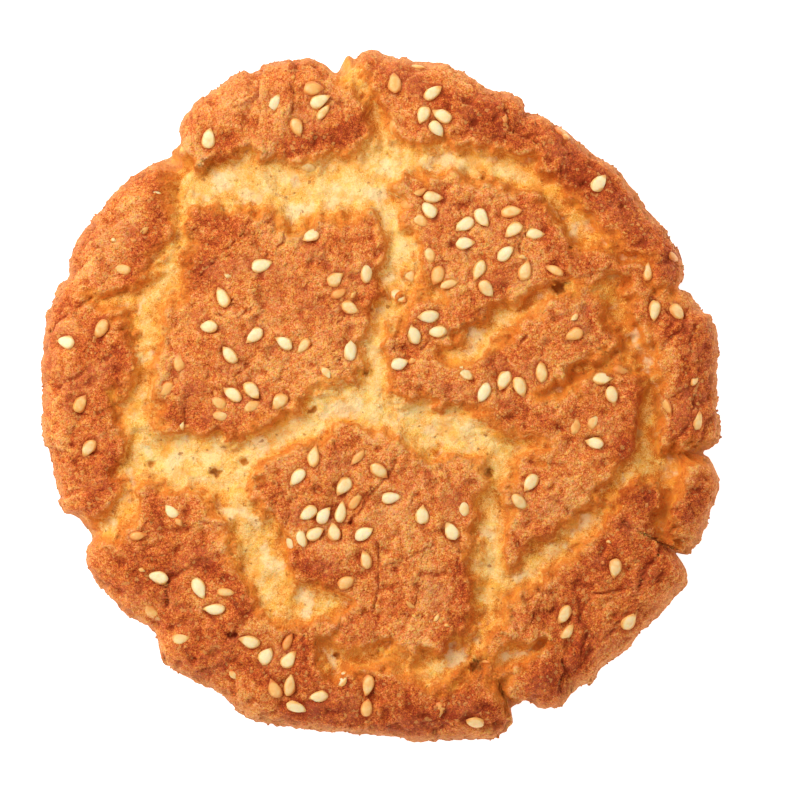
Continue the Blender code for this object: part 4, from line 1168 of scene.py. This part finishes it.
class Finish:
    """A material in the making: node() adds a node, with its settings first and then its sockets."""

    def __init__(self, name):
        self.material = bpy.data.materials.new(name)
        self.material.use_nodes = True
        self.tree = self.material.node_tree
        self.shader = self.tree.nodes["Principled BSDF"]

    def node(self, kind, settings, sockets, output=0):
        made = self.tree.nodes.new(kind)
        for setting, value in settings.items():
            if setting == "stops":
                self.set_stops(made.color_ramp, value)
            else:
                setattr(made, setting, value)
        for name, value in sockets.items():
            self.feed(self.socket(made.inputs, name), value)
        return Wire(self, self.socket(made.outputs, output))

    def socket(self, sockets, name):
        if isinstance(name, int):
            return sockets[name]
        return next(socket for socket in sockets if name in (socket.identifier, socket.name))

    def feed(self, socket, value):
        if isinstance(value, Wire):
            self.tree.links.new(value.socket, socket)
        else:
            socket.default_value = value

    def set_stops(self, ramp, stops):
        while len(ramp.elements) > 1:
            ramp.elements.remove(ramp.elements[-1])
        ramp.elements[0].position, ramp.elements[0].color = stops[0]
        for position, colour in stops[1:]:
            ramp.elements.new(position).color = colour

    def mark(self, name):
        return self.node("ShaderNodeAttribute", {"attribute_name": name}, {}, "Fac")

    def place(self):
        """The place on the piece, in millimetres."""
        sockets = {"Vector": self.node("ShaderNodeTexCoord", {}, {}, "Object"), "Scale": 1 / MM}
        return self.node("ShaderNodeVectorMath", {"operation": "SCALE"}, sockets)

    def clouds(self, place, size, detail):
        """Soft noise from 0 to 1 with blobs of the given size."""
        sockets = {"Vector": place, "Scale": 1 / size, "Detail": detail}
        return self.node("ShaderNodeTexNoise", {}, sockets, "Fac")

    def grains(self, place, size, output):
        """Grains of the given size: the distance from the middle of each, or a colour of its own."""
        return self.node("ShaderNodeTexVoronoi", {}, {"Vector": place, "Scale": 1 / size}, output)

    def stirred(self, place, size, reach):
        """The place with a shift that differs from spot to spot, so that a pattern comes out uneven."""
        sockets = {"Vector": place, "Scale": 1 / size, "Detail": 0.0}
        push = self.node("ShaderNodeTexNoise", {}, sockets, "Color")
        sockets = {0: push, 1: (reach, reach, reach), 2: place}
        return self.node("ShaderNodeVectorMath", {"operation": "MULTIPLY_ADD"}, sockets)

    def grain_tones(self, place, size):
        """A tone of its own, from 0 to 1, for each grain of the given size."""
        colour = self.grains(place, size, "Color")
        return self.node("ShaderNodeSeparateColor", {}, {"Color": colour}, "Red")

    def height_of(self, place):
        return self.node("ShaderNodeSeparateXYZ", {}, {"Vector": place}, "Z")

    def rise(self, value, low, high):
        """0 below low, 1 above high and smooth between."""
        sockets = {"Value": value, "From Min": low, "From Max": high}
        return self.node("ShaderNodeMapRange", {"interpolation_type": "SMOOTHSTEP"}, sockets, "Result")

    def ramp(self, tone, tints):
        stops = [(place, tint(colour)) for place, colour in tints]
        return self.node("ShaderNodeValToRGB", {"stops": stops}, {"Fac": tone}, "Color")

    def blend(self, share, first, second, how="MIX"):
        settings = {"data_type": "RGBA", "blend_type": how}
        sockets = {"Factor_Float": share, "A_Color": first, "B_Color": second}
        return self.node("ShaderNodeMix", settings, sockets, "Result_Color")

    def bump(self, height, depth):
        """Relief of the given depth in millimetres."""
        sockets = {"Height": height, "Distance": depth * MM, "Strength": 1.0}
        return self.node("ShaderNodeBump", {}, sockets, "Normal")

    def wear(self, **sockets):
        """Sets the shader's own sockets, such as Base_Color, and returns the finished material."""
        for name, value in sockets.items():
            self.feed(self.shader.inputs[name.replace("_", " ")], value)
        return self.material


class CrustPatterns:
    """The marks and patterns that the crust's colours and its relief share."""

    def __init__(self, made):
        self.here = here = made.place()
        self.stirred = made.stirred(here, *GRAIN_STIR)
        self.bake, self.warmth, self.hollow = made.mark("bake"), made.mark("warmth"), made.mark("hollow")
        self.grain_tone = made.grain_tones(self.stirred, GRAIN_SIZE)
        self.grain_round = made.grains(self.stirred, GRAIN_SIZE, "Distance")
        self.sand = made.clouds(here, *SAND)
        self.dust = made.clouds(here, *DUST)
        self.blotch = made.clouds(here, *BLOTCHES)
        frays, nibbles = made.clouds(here, *FRAYS), made.clouds(here, *NIBBLES)
        self.gap = mottled(made.mark("gap"), (frays, 1.8), (nibbles, 1.5))
        self.on_crust = made.rise(self.gap, *WALL_TO_CRUST)
        self.in_dough = 1 - made.rise(self.gap, *DOUGH_ENDS)


def dough_colour(made, seen):
    """Pale in the middle of a crack and warmer towards its wall, in lumps: the warmth by the wall is
    partly the dough's own colour there and partly painted warm shade and bounced light, and hollows are
    warmer as painted shade.
    """
    lump_tone = made.grain_tones(made.stirred(seen.here, *LUMP_STIR), LUMP_SIZE)
    clouds, curds = made.clouds(seen.here, *DOUGH_CLOUDS), made.clouds(seen.here, *DOUGH_CURDS)
    tone = mottled(
        seen.warmth, (clouds, 1.25), (curds, 0.7), (seen.dust, 1.4), (seen.sand, 0.55), (lump_tone, 0.30),
    )
    # Painted warm shade in hollows, and warmth by the walls that is partly the dough's own colour, partly
    # painted shade and bounced light
    tone = tone + seen.hollow.or_more(0.0) * 0.9 + made.rise(seen.gap, *DOUGH_WARMS_AND_SHADES) * 0.30
    return made.ramp(tone, DOUGH_TINTS)


def wall_colour(made, seen):
    return made.ramp(mottled(seen.bake, (seen.grain_tone, 0.3), (seen.sand, 0.5)), WALL_TINTS)


def plate_colour(made, seen):
    """Browned crust: each grain has its own tone and hue, and the plates are dull in patches. Hollows and
    the gaps between grains are darker as painted shade, and crests and grain tops are paler as painted
    light.
    """
    tone = mottled(seen.bake, (seen.grain_tone, 0.30), (seen.sand, 0.70), (seen.blotch, 0.66))
    # Painted shade in hollows and between grains, painted light on crests and grain tops
    tone = mottled(tone + seen.hollow * 0.6 - 0.06, (seen.dust, 1.10)) + (seen.grain_round - 0.4) * 0.30
    tone = tone - made.mark("lighter") * 0.14 - (1 - made.rise(seen.gap, *CRUST_DARKENS)) * 0.10
    crust = made.ramp(tone, CRUST_TINTS)
    dull = made.rise(made.clouds(seen.here, *DULL_PATCHES), *DULL_PART)
    dull = dull * made.rise(seen.gap, *DULL_STARTS)
    crust = made.blend(dull * DULL_SHARE, crust, tint(DULL_CRUST))
    hue = made.grain_tones(made.stirred(seen.here, *HUE_STIR), HUE_SIZE)
    crust = made.blend(made.rise(hue, *HUE_PART), crust, REDDER, "MULTIPLY")
    return made.blend(made.rise(1 - hue, *HUE_PART), crust, YELLOWER, "MULTIPLY")


def with_side(made, seen, colour):
    """The colour below the rim: paler at the belly and brown by the tray."""
    belly = made.rise(mottled(made.mark("side"), (seen.blotch, 0.6)), *BELLY_PART)
    colour = made.blend(belly * BELLY_SHARE, colour, tint(BELLY_TINT))
    tray = 1 - made.rise(mottled(made.height_of(seen.here), (seen.blotch, 4.0)), *TRAY_HEIGHTS)
    return made.blend(tray * TRAY_SHARE, colour, tint(TRAY_BROWN))


def with_openings(made, seen, colour):
    """The colour with painted shade in fissures, pits, pockets, hair cracks, torn seams and seed dents,
    and a pale grain here and there, which is partly a pale crumb and partly a painted glint of sugar.
    """
    nibbles = made.clouds(seen.here, *NIBBLED_OPENINGS)
    # Painted shade in the openings, darker over crust than over dough
    opened = made.rise(mottled(made.mark("crevice"), (nibbles, 0.5)), *OPENED_PART)
    opening_shade = made.blend(seen.on_crust, tint(OPENING_SHADE_ON_DOUGH), tint(OPENING_SHADE_ON_CRUST))
    colour = made.blend(opened * OPENING_SHADE_SHARE, colour, opening_shade)
    # Pale grains: partly pale crumbs, partly painted glints of sugar
    pale = made.rise(seen.grain_tone, *PALE_GRAIN_PART) * seen.on_crust
    return made.blend(pale * PALE_GRAIN_SHARE, colour, tint(PALE_GRAIN))


def with_dough_patches(made, seen, colour):
    """The colour with toasted, golden, chalky and damp patches of dough."""
    stirred = made.stirred(seen.here, *TOASTED_STIR)
    toasted = made.rise(made.clouds(stirred, *TOASTED_PATCHES), *TOASTED_PART)
    colour = made.blend(toasted * seen.in_dough * TOASTED_SHARE, colour, tint(TOASTED_DOUGH))
    golden = made.rise(made.clouds(seen.stirred, *GOLDEN_PATCHES), *GOLDEN_PART)
    colour = made.blend(golden * seen.in_dough, colour, GOLDEN, "MULTIPLY")
    chalky = made.rise(made.clouds(seen.stirred, *CHALKY_PATCHES), *CHALKY_PART)
    chalky = chalky * (1 - made.rise(seen.gap, *CHALK_ENDS))
    colour = made.blend(chalky * CHALKY_SHARE, colour, tint(CHALKY_DOUGH))
    damp = made.rise(made.clouds(seen.stirred, *DAMP_PATCHES), *DAMP_PART)
    return made.blend(damp * seen.in_dough * DAMP_SHARE, colour, tint(DAMP_DOUGH))


def with_pores(made, seen, colour):
    """The colour with pores and fine seams in the dough."""
    spots = made.grains(seen.stirred, PORE_SPACING, "Distance")
    edges, patches = made.clouds(seen.here, *PORE_EDGES), made.clouds(seen.here, *PORE_PATCHES)
    pores = 1 - made.rise(mottled(spots, (edges, 0.2), (patches, 0.3)), *PORE_PART)
    seams = 1 - made.rise(abs(made.clouds(seen.stirred, *SEAM_LINES) - 0.5), *SEAM_PART)
    seams = seams * made.rise(made.clouds(seen.here, *SEAM_PATCHES), *SEAM_PATCH_PART)
    marked = (pores * PORE_SHARE).or_more(seams * SEAM_SHARE)
    return made.blend(marked * seen.in_dough, colour, tint(PORE_TINT))


def crust_relief(made, seen):
    on_plate = seen.sand * 0.8 - seen.grain_round * 0.4 + seen.blotch * 0.5 + seen.dust * 0.25
    on_dough = made.clouds(seen.here, *DOUGH_GRAIN) * 0.8 + seen.blotch * 0.6 + seen.dust * 0.25
    plate = made.rise(seen.gap, *LUMPS_CHANGE)
    return made.bump(on_plate * plate + on_dough * (1 - plate), CRUST_RELIEF)


def crust_finish(name):
    """Crumbly crust over pale dough, which shows in the cracks."""
    made = Finish(name)
    seen = CrustPatterns(made)
    by_wall = made.rise(seen.gap, *DOUGH_TO_WALL)
    colour = made.blend(by_wall, dough_colour(made, seen), wall_colour(made, seen))
    colour = made.blend(seen.on_crust, colour, plate_colour(made, seen))
    for touch in (with_side, with_openings, with_dough_patches, with_pores):
        colour = touch(made, seen, colour)
    return made.wear(
        Base_Color=colour,
        Roughness=0.62 + made.clouds(seen.here, *CRUST_SHEEN) * 0.22,
        Specular_IOR_Level=0.12,
        Subsurface_Weight=0.35,
        Subsurface_Radius=(1.0, 0.42, 0.16),
        Subsurface_Scale=0.45 * MM,
        Normal=crust_relief(made, seen),
    )


def seed_finish():
    """Hulled sesame: cream, a little glossy, tanner at the tip and at the edge, each with its own toast.
    The edge's tan is partly the seed's own colour and partly painted warm shade where its surface turns
    away from the light.
    """
    made = Finish("sesame")
    here = made.place()
    along, across = made.mark("along"), made.mark("across")
    # Tanner edge: partly the seed's own colour, partly painted warm shade on the rounded sides
    edge = made.rise(along * along + across * across, *SEED_EDGE_PART)
    tone = mottled(made.mark("toast"), (made.clouds(here, *SEED_CLOUDS), 0.6))
    colour = made.ramp(tone + made.rise(along, *SEED_TIP_PART) * 0.16 + edge * 0.42, SEED_TINTS)
    return made.wear(
        Base_Color=colour,
        Roughness=0.40 + made.clouds(here, *SEED_SHEEN) * 0.15,
        Specular_IOR_Level=0.45,
        Subsurface_Weight=0.5,
        Subsurface_Radius=(1.0, 0.55, 0.22),
        Subsurface_Scale=0.6 * MM,
        Normal=made.bump(made.clouds(here, *SEED_RIDGES), SEED_RELIEF),
    )


def floor_finish():
    made = Finish("white table")
    return made.wear(
        Base_Color=(0.9, 0.9, 0.9, 1),
        Roughness=1.0,
        Specular_IOR_Level=0.0,
        Emission_Color=(1, 1, 1, 1),
        Emission_Strength=FLOOR_GLOW,
    )


def lay_floor():
    bpy.ops.object.select_all(action="DESELECT")
    bpy.ops.mesh.primitive_plane_add(size=FLOOR_SIZE * MM, location=(0, 0, -FLOOR_DROP * MM))
    floor = add_piece("table_top")
    floor.data.materials.append(floor_finish())


def light_it():
    bpy.ops.object.light_add(type="AREA", location=Vector(KEY_FROM) * MM)
    key = bpy.context.object
    key.data.size = KEY_SIZE * MM
    key.data.energy = KEY_POWER
    key.rotation_euler = (-Vector(KEY_FROM)).to_track_quat("-Z", "Y").to_euler()
    world = bpy.data.worlds.new("soft fill")
    bpy.context.scene.world = world
    world.use_nodes = True
    world.node_tree.nodes["Background"].inputs["Color"].default_value = (1, 1, 1, 1)
    world.node_tree.nodes["Background"].inputs["Strength"].default_value = FILL_STRENGTH


def aim_camera():
    """Straight down from well above, so that the sides hardly show."""
    x, y = FRAME_CENTRE
    bpy.ops.object.camera_add(location=(x * MM, y * MM, CAMERA_HEIGHT * MM), rotation=(0, 0, 0))
    camera = bpy.context.object
    camera.data.sensor_width = SENSOR_WIDTH
    camera.data.lens = SENSOR_WIDTH * CAMERA_HEIGHT / FRAME_WIDTH
    camera.data.clip_end = 2 * CAMERA_HEIGHT * MM
    bpy.context.scene.camera = camera
    bpy.context.scene.view_settings.view_transform = "Standard"


def dress_cookie():
    radius_at = belly_radius()
    crust = model_skin(radius_at)
    crumbs = model_crumbs(crust)
    seed = model_seed()
    seeds = model_seeds(seed, radius_at)
    chips = model_chips(seed, radius_at)
    bpy.data.objects.remove(seed, do_unlink=True)
    finish_piece(crust, crust_finish("baked crust"))
    finish_piece(crumbs, crust.data.materials[0])
    sesame = seed_finish()
    for piece in (*seeds, chips):
        finish_piece(piece, sesame)
    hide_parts(CAD_NODE)


noise.seed_set(NOISE_SEED)
dress_cookie()
lay_floor()
light_it()
aim_camera()
